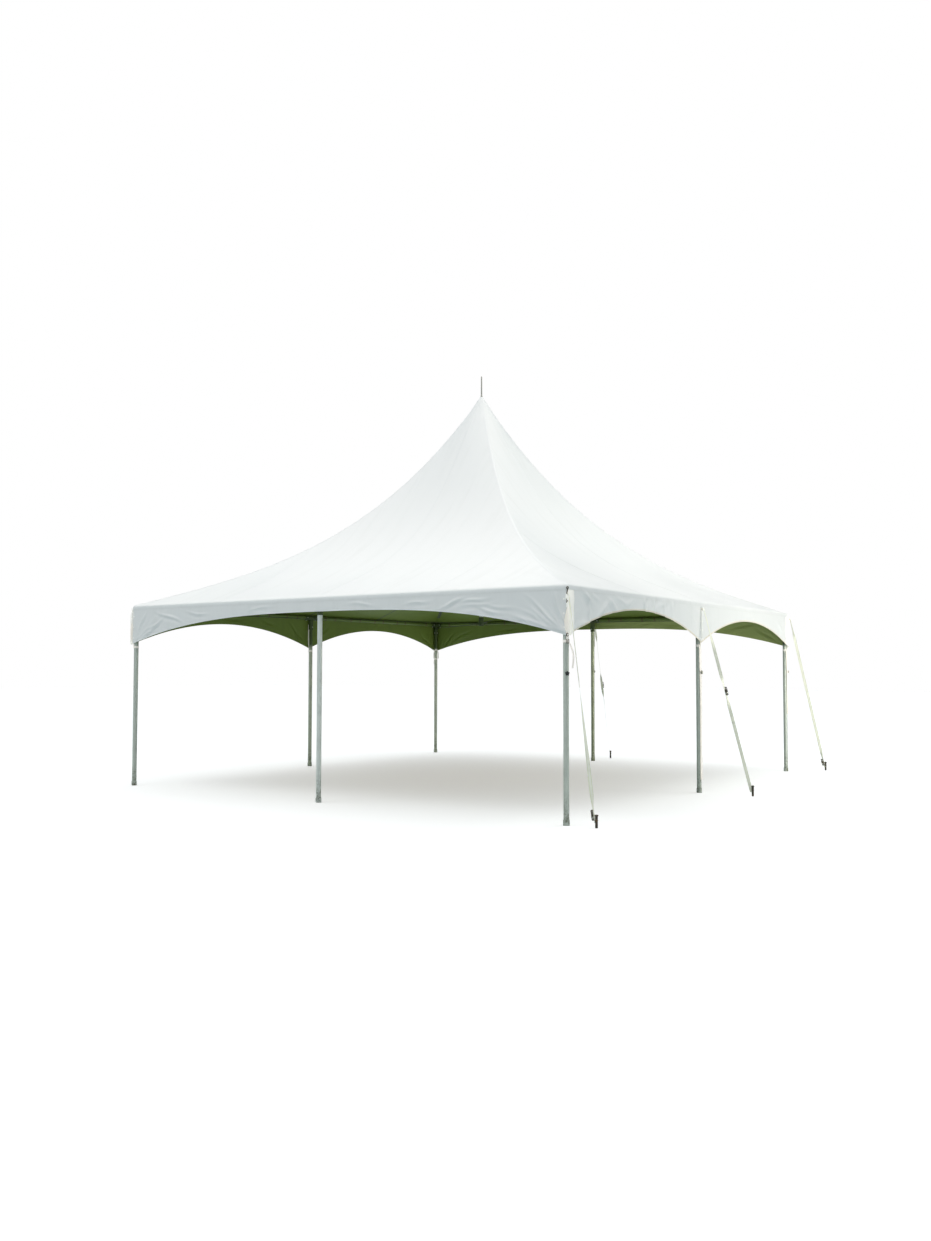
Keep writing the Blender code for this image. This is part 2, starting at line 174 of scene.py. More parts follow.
class Field:
    """An output in a node tree, on which the usual signs add Math nodes."""

    def __init__(self, tree, socket):
        self.tree, self.socket = tree, socket

    def other(self, output):
        """Another output of the same node."""
        return Field(self.tree, self.socket.node.outputs[output])

    def made(self, operation, *inputs):
        """A Math node, with this tree's outputs or numbers as its inputs."""
        return node(self.tree, "ShaderNodeMath", dict(enumerate(inputs)), operation=operation)

    def vector(self, operation, *inputs, output=0):
        """A Vector Math node with this one as its first input."""
        inputs = dict(enumerate((self, *inputs)))
        return node(self.tree, "ShaderNodeVectorMath", inputs, output, operation=operation)

    def mapped(self, low, high, to_low=0.0, to_high=1.0):
        """The value carried from one range to another, held at the ends."""
        return node(self.tree, "ShaderNodeMapRange", {"Value": self, "From Min": low, "From Max": high,
                                                      "To Min": to_low, "To Max": to_high})

    def between(self, first, second):
        """The colour at this share of the way between two others."""
        first, second = [v if isinstance(v, Field) else (*v, 1.0) for v in (first, second)]
        return node(self.tree, "ShaderNodeMix", {0: self, 6: first, 7: second}, 2, data_type="RGBA")

    def __neg__(self):
        return self.made("MULTIPLY", self, -1.0)


# Each sign works with the field on its left and on its right
for sign, kind in (("add", "ADD"), ("sub", "SUBTRACT"), ("mul", "MULTIPLY"), ("truediv", "DIVIDE"),
                   ("pow", "POWER")):
    setattr(Field, f"__{sign}__", lambda self, other, kind=kind: self.made(kind, self, other))
    setattr(Field, f"__r{sign}__", lambda self, other, kind=kind: self.made(kind, other, self))

NUMPY_TWINS = {"SINE": np.sin, "COSINE": np.cos, "EXPONENT": np.exp, "ARCTANGENT": np.arctan,
               "ARCTAN2": np.arctan2, "SQRT": np.sqrt, "MINIMUM": np.minimum,
               "MAXIMUM": np.maximum, "ABSOLUTE": np.abs, "FLOOR": np.floor}


def do(operation, *values):
    """A function of numbers, arrays or fields."""
    fields = [value for value in values if isinstance(value, Field)]
    return fields[0].made(operation, *values) if fields else NUMPY_TWINS[operation](*values)


sin, cos, exp = (partial(do, name) for name in ("SINE", "COSINE", "EXPONENT"))


# %% [markdown]
# ## The rule of the roof
#
# The surface is a stack of level sections. Far from the peak a section is a square whose
# corners are softly rounded, because cloth can't hold a sharp hip. Near the peak it is round.
# `down` runs from 0 at the peak to 1 where the cloth has turned over the eave beam and hangs
# straight. `turn` is the compass angle in quarter turns, 0 in the middle of the front side.
# `depth` goes into the cloth, so the inside face comes from the same rule. Folds lie on the
# surface: pleats under the peak, one fold that winds down from it, and fans at the corners.

# %% The roof's rule
ROOF_SIZES = {"Hip reach": HIP_REACH, "Eave top": EAVE_TOP, "Linear rise": LINEAR_RISE,
              "Curved rise": CURVED_RISE, "Peak opening": 0.0076, "Eave roll": EAVE_ROLL,
              "Hip rounding": 0.0125, "Pleat depth": 0.0035, "Corner fold depth": 0.006,
              "Crown clearance": 0.0062, "Crown reach": 0.12, "Twist depth": 0.003}
ROOF_SHARE = 0.9
ROW_POWER, PEAK_ROUND_POWER = 1.4, 6
SIDE_BOW = 0.12
PLEATS, PLEAT_WAVER, PLEAT_REACH, PLEAT_START = 6, 1.6, 0.28, 0.02
# The winding fold: its angle at the mast, how fast it turns, its breadth, and where it lies
TWIST_START, TWIST_LEAN = -1.25, 18.0
TWIST_WIDTH, TWIST_MIDDLE, TWIST_LENGTH = 0.0150, 0.085, 0.042
FAN_WAVES, FAN_PHASE, FAN_REACH, FAN_GAIN, FAN_END_POWER = 21, 1.2, 0.30, 3, 14


def section_away(reach, square, gap, rounding):
    """Distance from the mast to a level section, at an angle `gap` from the nearest hip."""
    soft = rounding / reach
    softened = math.pi / 4 - do("SQRT", gap * gap + soft * soft)
    return reach / (square * ROOT_TWO * cos(softened) + 1 - square)


def roof_folds(base, share, theta, turn, size):
    """How far the roof's cloth stands off its smooth surface."""
    waver = turn * (PLEATS * math.tau) + PLEAT_WAVER * sin(turn * math.tau)
    pleats = (0.5 + 0.5 * sin(waver)) * size["Pleat depth"]
    pleats = pleats * exp(-base / PLEAT_REACH) * (1 - exp(-base * base / PLEAT_START))
    beside = (theta - TWIST_START - TWIST_LEAN * base) * base / TWIST_WIDTH
    valley = beside + 1.8
    nearby = (base - TWIST_MIDDLE) / TWIST_LENGTH
    twist = (exp(-beside * beside) - 0.7 * exp(-valley * valley / 1.4)) * exp(-nearby * nearby)
    fading = cos(theta * 2)
    twist = twist * fading * fading
    # The cloth lies over the round cap of the crown
    over_crown = size["Crown clearance"] * exp(-((base / size["Crown reach"]) ** 4))
    edge, middle = size["Hip reach"] / ROOT_TWO, base / ROOT_TWO
    corner_x = edge - do("ABSOLUTE", middle * sin(theta) / cos(theta))
    corner_y = edge - middle
    away_corner = do("SQRT", corner_x * corner_x + corner_y * corner_y + 0.0001)
    fan = do("ARCTAN2", corner_y, corner_x + 0.001)
    folds = sin(fan * FAN_WAVES + FAN_PHASE) * away_corner * exp(-away_corner / FAN_REACH) * FAN_GAIN
    return (pleats + twist * size["Twist depth"] + over_crown
            + folds * size["Corner fold depth"] * (1 - share ** FAN_END_POWER))


def roof_point(down, turn, depth=0.0, size=ROOF_SIZES):
    """Plan place about the mast, in the side's own directions, and height."""
    share = do("MINIMUM", down / ROOF_SHARE, 1.0)
    bend = do("MAXIMUM", (down - ROOF_SHARE) / (1 - ROOF_SHARE), 0.0)
    opening, edge = size["Peak opening"], size["Hip reach"]
    base = opening + (edge - opening) * share ** ROW_POWER
    inward = do("MAXIMUM", 1 - base / edge, 0.0)
    slope = ROOT_TWO * (size["Linear rise"]
                        + CURVE_POWER * size["Curved rise"] * inward ** (CURVE_POWER - 1)) / edge
    turned = (math.pi / 2 - EAVE_ANGLE) * bend
    angle = do("ARCTANGENT", slope) + turned
    round_x = size["Eave roll"] * (sin(EAVE_ANGLE + turned) - math.sin(EAVE_ANGLE))
    round_z = size["Eave roll"] * (cos(EAVE_ANGLE + turned) - math.cos(EAVE_ANGLE))
    near_hip = sin(math.pi * base / edge)
    square = 1 - inward ** PEAK_ROUND_POWER + SIDE_BOW * near_hip * near_hip
    theta = turn * (math.pi / 2)
    gap = math.pi / 4 - do("ABSOLUTE", theta)
    proud = roof_folds(base, share, theta, turn, size) - depth
    reach = base + ROOT_TWO * (round_x + proud * sin(angle))
    away = section_away(reach, square, gap, size["Hip rounding"])
    height = size["Eave top"] + size["Linear rise"] * inward + size["Curved rise"] * inward ** CURVE_POWER
    return away * sin(theta), -away * cos(theta), height + round_z + proud * cos(angle)


def placed(points, side):
    """Points in a front side's own directions, carried to a side and to the row frame."""
    points = np.asarray(points, float)
    angle = SIDES[side] * math.pi / 2
    cosine, sine = math.cos(angle), math.sin(angle)
    x = points[..., 0] * cosine - points[..., 1] * sine + HALF
    y = points[..., 0] * sine + points[..., 1] * cosine + HALF
    return np.stack([x, y, points[..., 2]], axis=-1)


top_y, top_z = roof_point(0.0, 0.0)[1:]
print("roof opening", round(-float(top_y), 4), "m from the mast at", round(float(top_z), 3), "m")

# %% [markdown]
# ## Building finishes from nodes
#
# A finish is a Principled shader with textures that are worked out from the piece's own
# coordinates, so it holds up from any side. Small helpers cover what all finishes need.

# %% Helpers for finishes
def finish(name, colour, roughness, metallic=0.0, **more):
    """A material with its shader's constant sockets set."""
    made = bpy.data.materials.new(name)
    made.use_nodes = True
    made.diffuse_color = (*colour, 1.0)
    shader = made.node_tree.nodes["Principled BSDF"]
    settings = {"Base_Color": (*colour, 1.0), "Roughness": roughness, "Metallic": metallic, **more}
    for key, value in settings.items():
        shader.inputs[key.replace("_", " ")].default_value = value
    return made


def plug(made, **outputs):
    """Link outputs to the shader's inputs by name."""
    shader = made.node_tree.nodes["Principled BSDF"]
    for key, value in outputs.items():
        made.node_tree.links.new(value.socket, shader.inputs[key.replace("_", " ")])


def coordinates(tree, scale=(1, 1, 1), attribute=None):
    """Object coordinates, or a stored attribute, stretched by three scales."""
    if attribute:
        source = node(tree, "ShaderNodeAttribute", output="Vector", attribute_name=attribute)
    else:
        source = node(tree, "ShaderNodeTexCoord", output="Object")
    return node(tree, "ShaderNodeMapping", {"Vector": source, "Scale": scale})


def noise(tree, scale, detail, roughness=0.5, *stretch):
    """A noise at a scale in waves to the metre; what follows says how its coordinates stretch."""
    vector = coordinates(tree, *stretch)
    return node(tree, "ShaderNodeTexNoise", {"Vector": vector, "Scale": scale, "Detail": detail,
                                             "Roughness": roughness}, "Fac")


def wave(tree, vector, length, way, **more):
    """Ribs at a real spacing."""
    return node(tree, "ShaderNodeTexWave", {"Vector": vector, "Scale": math.tau / 20 / length, **more},
                "Fac", bands_direction=way)


def bumped(made, height, distance, strength):
    """A bump of a real height in metres, linked to the shader."""
    plug(made, Normal=node(made.node_tree, "ShaderNodeBump",
                           {"Height": height, "Distance": distance, "Strength": strength}))


# %% [markdown]
# ## Coated vinyl, white outside, with an inside painted in olive shade
#
# Tent cloth is a polyester grid coated with vinyl on both faces. From far away it is a soft
# white with a low gloss. Close up, the grid shows through as fine ribs 3 mm apart, rain
# leaves pale grey runs down the slope, and old folds leave a slight unevenness. The inside
# face has its own finish with the same grid, painted a dull olive: painted shade under the
# roof, with the green of light thrown up from grass. On the back side a lighter patch is
# painted in where daylight would come through: painted light.

# %% Finishes for cloth
GRID_SPACING = 0.003
# Painted shade: the inside colour is a dull olive that stands for shade under the roof and green light
# from grass; the worn tone adds dirt to it
SHADE_PAINT_OLIVE, WORN_AND_SHADED_OLIVE = (0.185, 0.252, 0.044), (0.150, 0.205, 0.039)
# Where along X the painted daylight on the back's inside starts and ends, and its colour
PAINTED_DAYLIGHT = (2.5, 3.5, (0.47, 0.53, 0.20))


def vinyl(name, clean, worn, roughness, painted_glow=0.0, painted_daylight=None):
    """Coated tent cloth: rain runs, unevenness, the grid of its weave, and painted light: a glow, and a
    lighter patch where daylight would come through.
    """
    # Painted light: the cloth can glow a little in its own colour
    made = finish(name, clean, roughness, Coat_Weight=0.06, Coat_Roughness=0.25,
                  Emission_Color=(*clean, 1.0), Emission_Strength=painted_glow, Specular_IOR_Level=0.35)
    tree = made.node_tree
    runs, clouds = noise(tree, 1.6, 5.0, 0.62, (5.0, 0.5, 1.0), "cloth"), noise(tree, 0.9, 4.0)
    dirt = runs.mapped(0.50, 0.80, 0.0, 0.8) * clouds.mapped(0.35, 0.7, 0.25, 1.0)
    tone = dirt.between(clean, worn)
    # Painted light: the colour turns lighter along X, where daylight would come through
    if painted_daylight:
        place = node(tree, "ShaderNodeTexCoord", output="Object")
        along = node(tree, "ShaderNodeSeparateXYZ", {0: place})
        tone = along.mapped(*painted_daylight[:2]).between(tone, painted_daylight[2])
    plug(made, Base_Color=tone, Roughness=clouds.mapped(0.3, 0.7, roughness - 0.06, roughness + 0.08))
    own = coordinates(tree, attribute="cloth")
    grid = do("MAXIMUM", wave(tree, own, GRID_SPACING, "X"), wave(tree, own, GRID_SPACING, "Y"))
    bumped(made, noise(tree, 9.0, 3.0, 0.55) + grid * 0.03, 0.004, 0.35)
    return made


WHITE_VINYL = vinyl("white_vinyl", (0.88, 0.885, 0.88), (0.80, 0.81, 0.795), 0.40)
# Both inside finishes are painted shade; the back's also has painted light
INSIDE_IN_PAINTED_SHADE = vinyl("inside_in_painted_shade", SHADE_PAINT_OLIVE, WORN_AND_SHADED_OLIVE, 0.55)
BACK_INSIDE_PAINTED_SHADE_AND_LIGHT = vinyl("back_inside_painted_shade_and_light", SHADE_PAINT_OLIVE, WORN_AND_SHADED_OLIVE, 0.55, painted_daylight=PAINTED_DAYLIGHT)
print("cloth finishes:", WHITE_VINYL.name, INSIDE_IN_PAINTED_SHADE.name, BACK_INSIDE_PAINTED_SHADE_AND_LIGHT.name)

# %% [markdown]
# ## Pieces, and node trees that make them
#
# Every piece gets smooth shading, rides on the tent's one body and has a material slot. Some
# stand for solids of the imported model. Each Geometry Nodes tree is built once. A modifier on
# a plain mesh runs it, with its sizes set by the sockets' identifiers before the object is
# first evaluated. The result is copied to a plain mesh, and the modifier goes away.

# %% Helpers for pieces
def settled(name, mesh, angle, stands_for=()):
    """A mesh as a piece that rides on the tent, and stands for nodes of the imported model."""
    mesh.shade_smooth()
    mesh.set_sharp_from_angle(angle=math.radians(angle))
    piece = bpy.data.objects.new(name, mesh)
    bpy.context.scene.collection.objects.link(piece)
    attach(piece, "root")
    if stands_for:
        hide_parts(*stands_for)
    print(name, sum(len(face.vertices) - 2 for face in mesh.polygons), "triangles")
    return piece


def turn_out(mesh):
    """Turn the faces of closed shapes outward."""
    shape = bmesh.new()
    shape.from_mesh(mesh)
    bmesh.ops.recalc_face_normals(shape, faces=shape.faces)
    shape.to_mesh(mesh)
    shape.free()


def skin_piece(name, points, faces, marks, materials, angle, stands_for=(), own=None):
    """A piece from points and faces; marks choose the materials, own coordinates are stored."""
    mesh = bpy.data.meshes.new(name)
    mesh.from_pydata(points, [], faces)
    for material in materials:
        mesh.materials.append(material)
    mesh.polygons.foreach_set("material_index", marks)
    if own is not None:
        stored = mesh.attributes.new("cloth", "FLOAT_VECTOR", "POINT")
        stored.data.foreach_set("vector", np.asarray(own, np.float32).ravel())
    turn_out(mesh)
    return settled(name, mesh, angle, stands_for)


# %% Helpers for Geometry Nodes
MATERIAL = bpy.types.Material
KINDS = {float: "NodeSocketFloat", int: "NodeSocketInt", MATERIAL: "NodeSocketMaterial"}


def new_tree(name, sizes):
    """A Geometry Nodes tree with a named input for each size, and its inputs by name."""
    tree = bpy.data.node_groups.new(name, "GeometryNodeTree")
    for way in ("INPUT", "OUTPUT"):
        tree.interface.new_socket("Geometry", in_out=way, socket_type="NodeSocketGeometry")
    for key, kind in sizes.items():
        tree.interface.new_socket(key, in_out="INPUT", socket_type=KINDS[kind])
    outputs = tree.nodes.new("NodeGroupInput").outputs
    return tree, {socket.name: Field(tree, socket) for socket in outputs if socket.name}


def end_tree(tree, geometry, material=None):
    """Realize the instances, set the material and close the tree."""
    real = node(tree, "GeometryNodeRealizeInstances", {0: geometry})
    if material:
        real = node(tree, "GeometryNodeSetMaterial", {"Geometry": real, "Material": material})
    tree.links.new(real.socket, tree.nodes.new("NodeGroupOutput").inputs[0])
    return tree


def drop_empty_slots(mesh):
    """Keep only the material slots that hold a material."""
    used = list(mesh.materials)
    kept = [index for index, item in enumerate(used) if item]
    chosen = np.zeros(len(mesh.polygons), np.int32)
    mesh.polygons.foreach_get("material_index", chosen)
    mesh.materials.clear()
    for index in kept:
        mesh.materials.append(used[index])
    fresh = [kept.index(index) if index in kept else 0 for index in range(len(used))]
    mesh.polygons.foreach_set("material_index", np.array(fresh or [0], np.int32)[chosen])


def run_tree(name, tree, start, sizes):
    """The plain mesh that a tree makes from a start mesh."""
    carrier = bpy.data.objects.new(name + "_start", start)
    bpy.context.scene.collection.objects.link(carrier)
    modifier = carrier.modifiers.new("make", "NODES")
    modifier.node_group = tree
    inputs = [item for item in tree.interface.items_tree if item.in_out == "INPUT"]
    places = {item.name: item.identifier for item in inputs}
    for key, value in sizes.items():
        modifier[places[key]] = value
    evaluated = carrier.evaluated_get(bpy.context.evaluated_depsgraph_get())
    mesh = bpy.data.meshes.new_from_object(evaluated)
    mesh.name = name
    bpy.data.objects.remove(carrier, do_unlink=True)
    drop_empty_slots(mesh)
    return mesh


# %% [markdown]
# ## The roof: one continuous cloth
#
# The real roof is four gores welded into one skin and stretched over the eave. Flat panels
# would show straight facets and open hips, so the whole skin is one grid here. The tree
# lays a grid round the mast, carries every point to the rule of the roof, and lets the grid
# turn back on itself inside, so the cloth has two faces and closed rims.

# %% The roof's node tree
ROOF_COLUMNS, ROOF_ROWS = 112, 84
CLOTH = 0.002
# Slope length in metres of a whole roof row, close enough for a pattern
SLOPE_LENGTH = HIP_REACH / ROOT_TWO * 1.2


def canopy_tree():
    """Grid, rule, turn to each side, close the seam."""
    tree, given = new_tree("roof_cloth", {**dict.fromkeys(ROOF_SIZES, float), "Columns a side": int,
                                          "Rows": int, "Thickness": float, "Outside": MATERIAL,
                                          "Inside": MATERIAL})
    rows = given["Rows"]
    last = rows * 2 + 2
    grid = node(tree, "GeometryNodeMeshGrid",
                {"Size X": 1.0, "Size Y": 1.0, "Vertices X": given["Columns a side"] * 4 + 1,
                 "Vertices Y": last + 1}, "Mesh")
    place = node(tree, "ShaderNodeSeparateXYZ", {0: node(tree, "GeometryNodeInputPosition")})
    around, line = (place + 0.5) * 4, (place.other(1) + 0.5) * last
    row = do("FLOOR", line + 0.5)
    is_last = row.made("GREATER_THAN", row, last - 0.5)
    is_inside = row.made("GREATER_THAN", row, rows + 0.5) - is_last
    down = row / rows * (1 - is_inside - is_last) + (last - 1 - row) / rows * is_inside
    side = do("MINIMUM", do("FLOOR", around + 0.00001), 3.0)
    # Columns crowd towards the hips, where the cloth turns most
    turn = do("ARCTANGENT", sin((around - side - 0.5) * math.pi)) * (2 / math.pi)
    x, y, z = roof_point(down, turn, is_inside * given["Thickness"], given)
    cloth = node(tree, "ShaderNodeCombineXYZ", {0: x, 1: y, 2: z})
    turned = node(tree, "ShaderNodeVectorRotate", {"Vector": cloth, "Angle": side * (math.pi / 2)},
                  rotation_type="Z_AXIS")
    geometry = node(tree, "GeometryNodeSetMaterial", {"Geometry": grid, "Material": given["Outside"]})
    inner = line.made("GREATER_THAN", line, rows + 1)
    geometry = node(tree, "GeometryNodeSetMaterial",
                    {"Geometry": geometry, "Selection": inner, "Material": given["Inside"]})
    # The cloth's own coordinates: metres across the panel, and metres down from the peak
    own = node(tree, "ShaderNodeCombineXYZ", {0: x, 1: down * SLOPE_LENGTH})
    geometry = node(tree, "GeometryNodeStoreNamedAttribute",
                    {"Geometry": geometry, "Name": "cloth", "Value": own},
                    data_type="FLOAT_VECTOR", domain="POINT")
    geometry = node(tree, "GeometryNodeSetPosition",
                    {"Geometry": geometry, "Position": turned.vector("ADD", tuple(CENTRE))})
    geometry = node(tree, "GeometryNodeFlipFaces", {0: geometry})
    return end_tree(tree, node(tree, "GeometryNodeMergeByDistance",
                               {"Geometry": geometry, "Distance": 0.0002}))


roof_mesh = run_tree("roof_cloth", canopy_tree(), bpy.data.meshes.new("empty"),
                     {**ROOF_SIZES, "Columns a side": ROOF_COLUMNS, "Rows": ROOF_ROWS,
                      "Thickness": CLOTH, "Outside": WHITE_VINYL, "Inside": INSIDE_IN_PAINTED_SHADE})
roof = settled("roof_cloth", roof_mesh, 50, ["roof_" + side for side in SIDES])

# %% [markdown]
# ## Shells: one way to make everything that is flat and thin
#
# Valances, seam tapes, binding and webbing are all strips with two faces. One helper takes
# a grid of outer points and a grid of inner points, and closes the rims between them. Both
# faces are cut along the same diagonals, so that they can't cross in a sharp fold.

# %% A closed shell between two grids
def shell_piece(name, parts, outside, inside=None, stands_for=()):
    """One piece from shells; each part is an outer grid, an inner grid and own coordinates."""
    points, faces, marks, own = [], [], [], []
    for outer, inner, coords in parts:
        rows, columns = outer.shape[:2]
        top = sum(len(p) for p in points) + np.arange(rows * columns).reshape(rows, columns)
        low = top + rows * columns
        points += [outer.reshape(-1, 3), inner.reshape(-1, 3)]
        own += [coords.reshape(-1, 2)] * 2
        for grid, mark, cuts in ((top, 0, ([0, 1, 2], [0, 2, 3])),
                                 (low[:, ::-1], 1, ([0, 1, 3], [1, 2, 3]))):
            quads = np.stack([grid[:-1, :-1], grid[1:, :-1], grid[1:, 1:], grid[:-1, 1:]], -1)
            for cut in cuts:
                faces += quads.reshape(-1, 4)[:, cut].tolist()
            marks += [mark] * 2 * quads[..., 0].size
        ring = [*[(0, c) for c in range(columns)], *[(r, columns - 1) for r in range(1, rows)],
                *[(rows - 1, c) for c in range(columns - 2, -1, -1)],
                *[(r, 0) for r in range(rows - 2, 0, -1)]]
        for first, second in zip(ring, ring[1:] + ring[:1]):
            faces.append([int(top[first]), int(top[second]), int(low[second]), int(low[first])])
            marks.append(0)
    coords = np.concatenate(own)
    return skin_piece(name, np.concatenate(points).tolist(), faces, marks if inside else [0] * len(marks),
                      [outside, inside] if inside else [outside], 50, stands_for,
                      np.column_stack([coords, np.zeros(len(coords))]))


# %% [markdown]
# ## The rule of a valance
#
# A valance hangs from the eave, straight down under the turned cloth. At the corners it
# bends round with the roof, so two valances meet in one soft edge. It isn't flat: the cloth
# is pulled towards the low points that are tied to the legs, so folds fan out from them,
# and the right side has upright folds near its front corner, where the cloth is slack.
# `across` is measured along the side from its middle, and `height` above the ground. Each
# crease is a ridge with a shallow valley beside it, and has a place, a length and a tilt.

# %% The valance's rule
VALANCE_POINT_Z = 1.725
ARCH_TOP_Z, BAY_ARCH_POWER = 2.022, 2.0
WIDE_ARCH_TOP_Z, WIDE_ARCH_POWER = 2.036, 2.9
CORNER_SLOT, SLIT_HALF_WIDTH = 0.004, 0.0036
VALANCE_LINE = HALF + EAVE_ROLL
VALANCE_END = VALANCE_LINE - CORNER_SLOT
VALANCE_DROP = EAVE_AXIS_Z - VALANCE_POINT_Z
# Fold depth near the left and the right low point of each side, in metres
FAN_DEPTH = {"front": (0.0078, 0.0125), "right": (0.012, 0.006), "back": (0.007, 0.007),
             "left": (0.0065, 0.0065)}
SIDE_PHASE = {"front": 0.4, "right": 2.1, "back": 3.7, "left": 5.2}
# Creases of a side: across, height, length, tilt in degrees, and how far they stand out
CREASES = {
    "front": [(2.88, 1.915, 0.40, -39, 0.008), (2.88, 1.862, 0.34, -31, 0.007),
              (2.83, 1.825, 0.38, -14, 0.0055), (3.01, 1.95, 0.30, -67, 0.0045),
              (2.74, 1.905, 0.22, -26, 0.0045), (2.59, 1.885, 0.20, -26, 0.0035),
              (2.24, 1.976, 0.26, -12, 0.0045), (1.78, 2.066, 0.26, 17, 0.0045),
              (2.04, 2.084, 0.26, 6, 0.004), (2.05, 2.04, 0.30, 4, 0.004),
              (2.36, 2.01, 0.30, -9, 0.003), (1.35, 2.085, 0.26, 6, 0.003),
              (0.62, 2.095, 0.30, -4, 0.0025), (-0.85, 2.098, 0.34, 5, 0.0025),
              (-1.90, 2.07, 0.30, -7, 0.003), (-2.74, 1.88, 0.30, 32, 0.005),
              (-2.66, 1.95, 0.26, 24, 0.0045), (-2.38, 2.04, 0.36, -16, 0.0045),
              (-2.90, 1.98, 0.24, 62, 0.004)],
    "right": [(-2.70, 2.105, 0.30, -27, 0.009), (-2.58, 2.12, 0.22, -30, 0.006),
              (-2.69, 1.95, 0.24, 88, 0.008), (-2.81, 1.838, 0.26, 18, 0.009),
              (-2.43, 1.975, 0.26, 24, 0.006), (-2.34, 2.03, 0.22, 28, 0.006),
              (-2.20, 2.05, 0.24, -32, 0.007), (-2.05, 2.115, 0.34, -12, 0.006),
              (-1.83, 2.095, 0.26, 14, 0.006), (-1.49, 2.095, 0.22, 90, 0.011),
              (-1.27, 2.105, 0.18, 91, 0.008), (-1.01, 2.07, 0.18, 88, 0.008),
              (-0.80, 2.09, 0.20, 91, 0.009), (-1.02, 2.13, 0.34, 12, 0.005),
              (-0.20, 1.96, 0.24, -38, 0.002), (0.30, 1.955, 0.24, 40, 0.003),
              (1.55, 2.08, 0.26, 8, 0.0025), (2.80, 1.93, 0.26, -36, 0.0035)],
    "back": [(-2.78, 1.90, 0.32, 36, 0.005), (-2.40, 2.03, 0.34, -14, 0.004),
             (-1.30, 2.08, 0.30, 8, 0.003), (0.22, 2.11, 0.18, 60, 0.003),
             (1.60, 2.07, 0.32, -6, 0.003), (2.52, 1.99, 0.30, -24, 0.0045),
             (2.84, 1.88, 0.28, -44, 0.005), (-0.90, 2.10, 0.20, -9, 0.003)],
    "left": [(-2.80, 1.91, 0.28, 40, 0.0045), (-1.55, 2.09, 0.20, 85, 0.0035),
             (-0.28, 1.95, 0.26, -40, 0.004), (0.26, 1.96, 0.26, 42, 0.004),
             (1.45, 2.09, 0.28, 6, 0.003), (2.60, 1.98, 0.26, -30, 0.0045),
             (2.86, 1.86, 0.24, -50, 0.0045), (0.80, 2.07, 0.22, 20, 0.003)]}
CREASE_WIDTH = {"front": 0.0165, "right": 0.030, "back": 0.020, "left": 0.020}
CREASE_STRENGTH = 2.1
CREASE_WAVER, VALLEY_DEPTH, VALLEY_PLACE, VALLEY_BREADTH = 0.010, 0.6, 2.0, 1.3
# The ridges that fan out from a low point: their number in a turn, where they start, and their reach
RIDGES, RIDGE_START, RIDGE_RISE, RIDGE_REACH = 17, 0.03, 0.14, 0.42
MIDDLE_FAN_DEPTH = 0.0035
# Slow waves of the whole cloth: their depth, how fast they go, and how often the side's phase counts
SLOW_WAVES = ((0.003, 1.7, 1), (0.0022, 4.6, 2))
# Ripples of the slack cloth: their depth, and their distance from the corner and breadth along the side
SLACK_DEPTH, SLACK_PLACE, SLACK_BREADTH = 0.0016, 0.75, 0.65
PUCKER_DEPTH, PUCKER_FADE, BULGE = 0.0008, 9, 0.0015


def bays(side):
    """Ends of each stretch of cloth, and the middle, half span, top and power of its arch."""
    wide = (0.0, VALANCE_END, WIDE_ARCH_TOP_Z, WIDE_ARCH_POWER)
    if side == "front":
        return [(-VALANCE_END, VALANCE_END, *wide)]
    stretches = [(-VALANCE_END, -SLIT_HALF_WIDTH), (SLIT_HALF_WIDTH, VALANCE_END)]
    if side == "back":
        return [(*ends, *wide) for ends in stretches]
    return [(left, right, (left + right) / 2, (right - left) / 2, ARCH_TOP_Z, BAY_ARCH_POWER)
            for left, right in stretches]


def arch_edge(across, bay):
    """Height of the lower edge under one arch."""
    middle, half_span, top, power = bay[2:]
    away = np.clip(np.abs(across - middle) / half_span, 0, 1)
    return top - (top - VALANCE_POINT_Z) * away ** power


def fan(across, height, corner, depth, phase):
    """Ridges that fan out from one low point of a valance, no two alike."""
    along, up = np.abs(across - corner), height - VALANCE_POINT_Z
    distance = np.hypot(along, up) + 0.001
    waver = np.arctan2(up, along + 0.02) * RIDGES + phase + 0.8 * sin(distance * 8 + phase)
    ridge, place = np.floor(waver / math.tau), np.mod(waver, math.tau) - math.pi
    crest = exp(-place ** 2) * (0.55 + 0.45 * sin(ridge * 2.4 + phase))
    reach = RIDGE_REACH + 0.2 * sin(ridge * 1.7 + phase)
    rise = np.clip((distance - RIDGE_START) / RIDGE_RISE, 0, 1)
    return depth * crest * rise * exp(-(distance / reach) ** 2)


def crease(across, height, place, broad):
    """One crease: a ridge of a breadth, and the valley beside it."""
    middle, line, length, tilt, proud = place
    cosine, sine = math.cos(math.radians(tilt)), math.sin(math.radians(tilt))
    right, up = across - middle, height - line
    along = (right * cosine + up * sine) / (length / 2)
    beside = (up * cosine - right * sine + CREASE_WAVER * sin(along * 2.1 + middle * 9)) / broad
    valley = (beside + VALLEY_PLACE) / VALLEY_BREADTH
    profile = exp(-beside ** 2) - VALLEY_DEPTH * exp(-valley ** 2)
    return CREASE_STRENGTH * proud * profile * exp(-along ** 2)


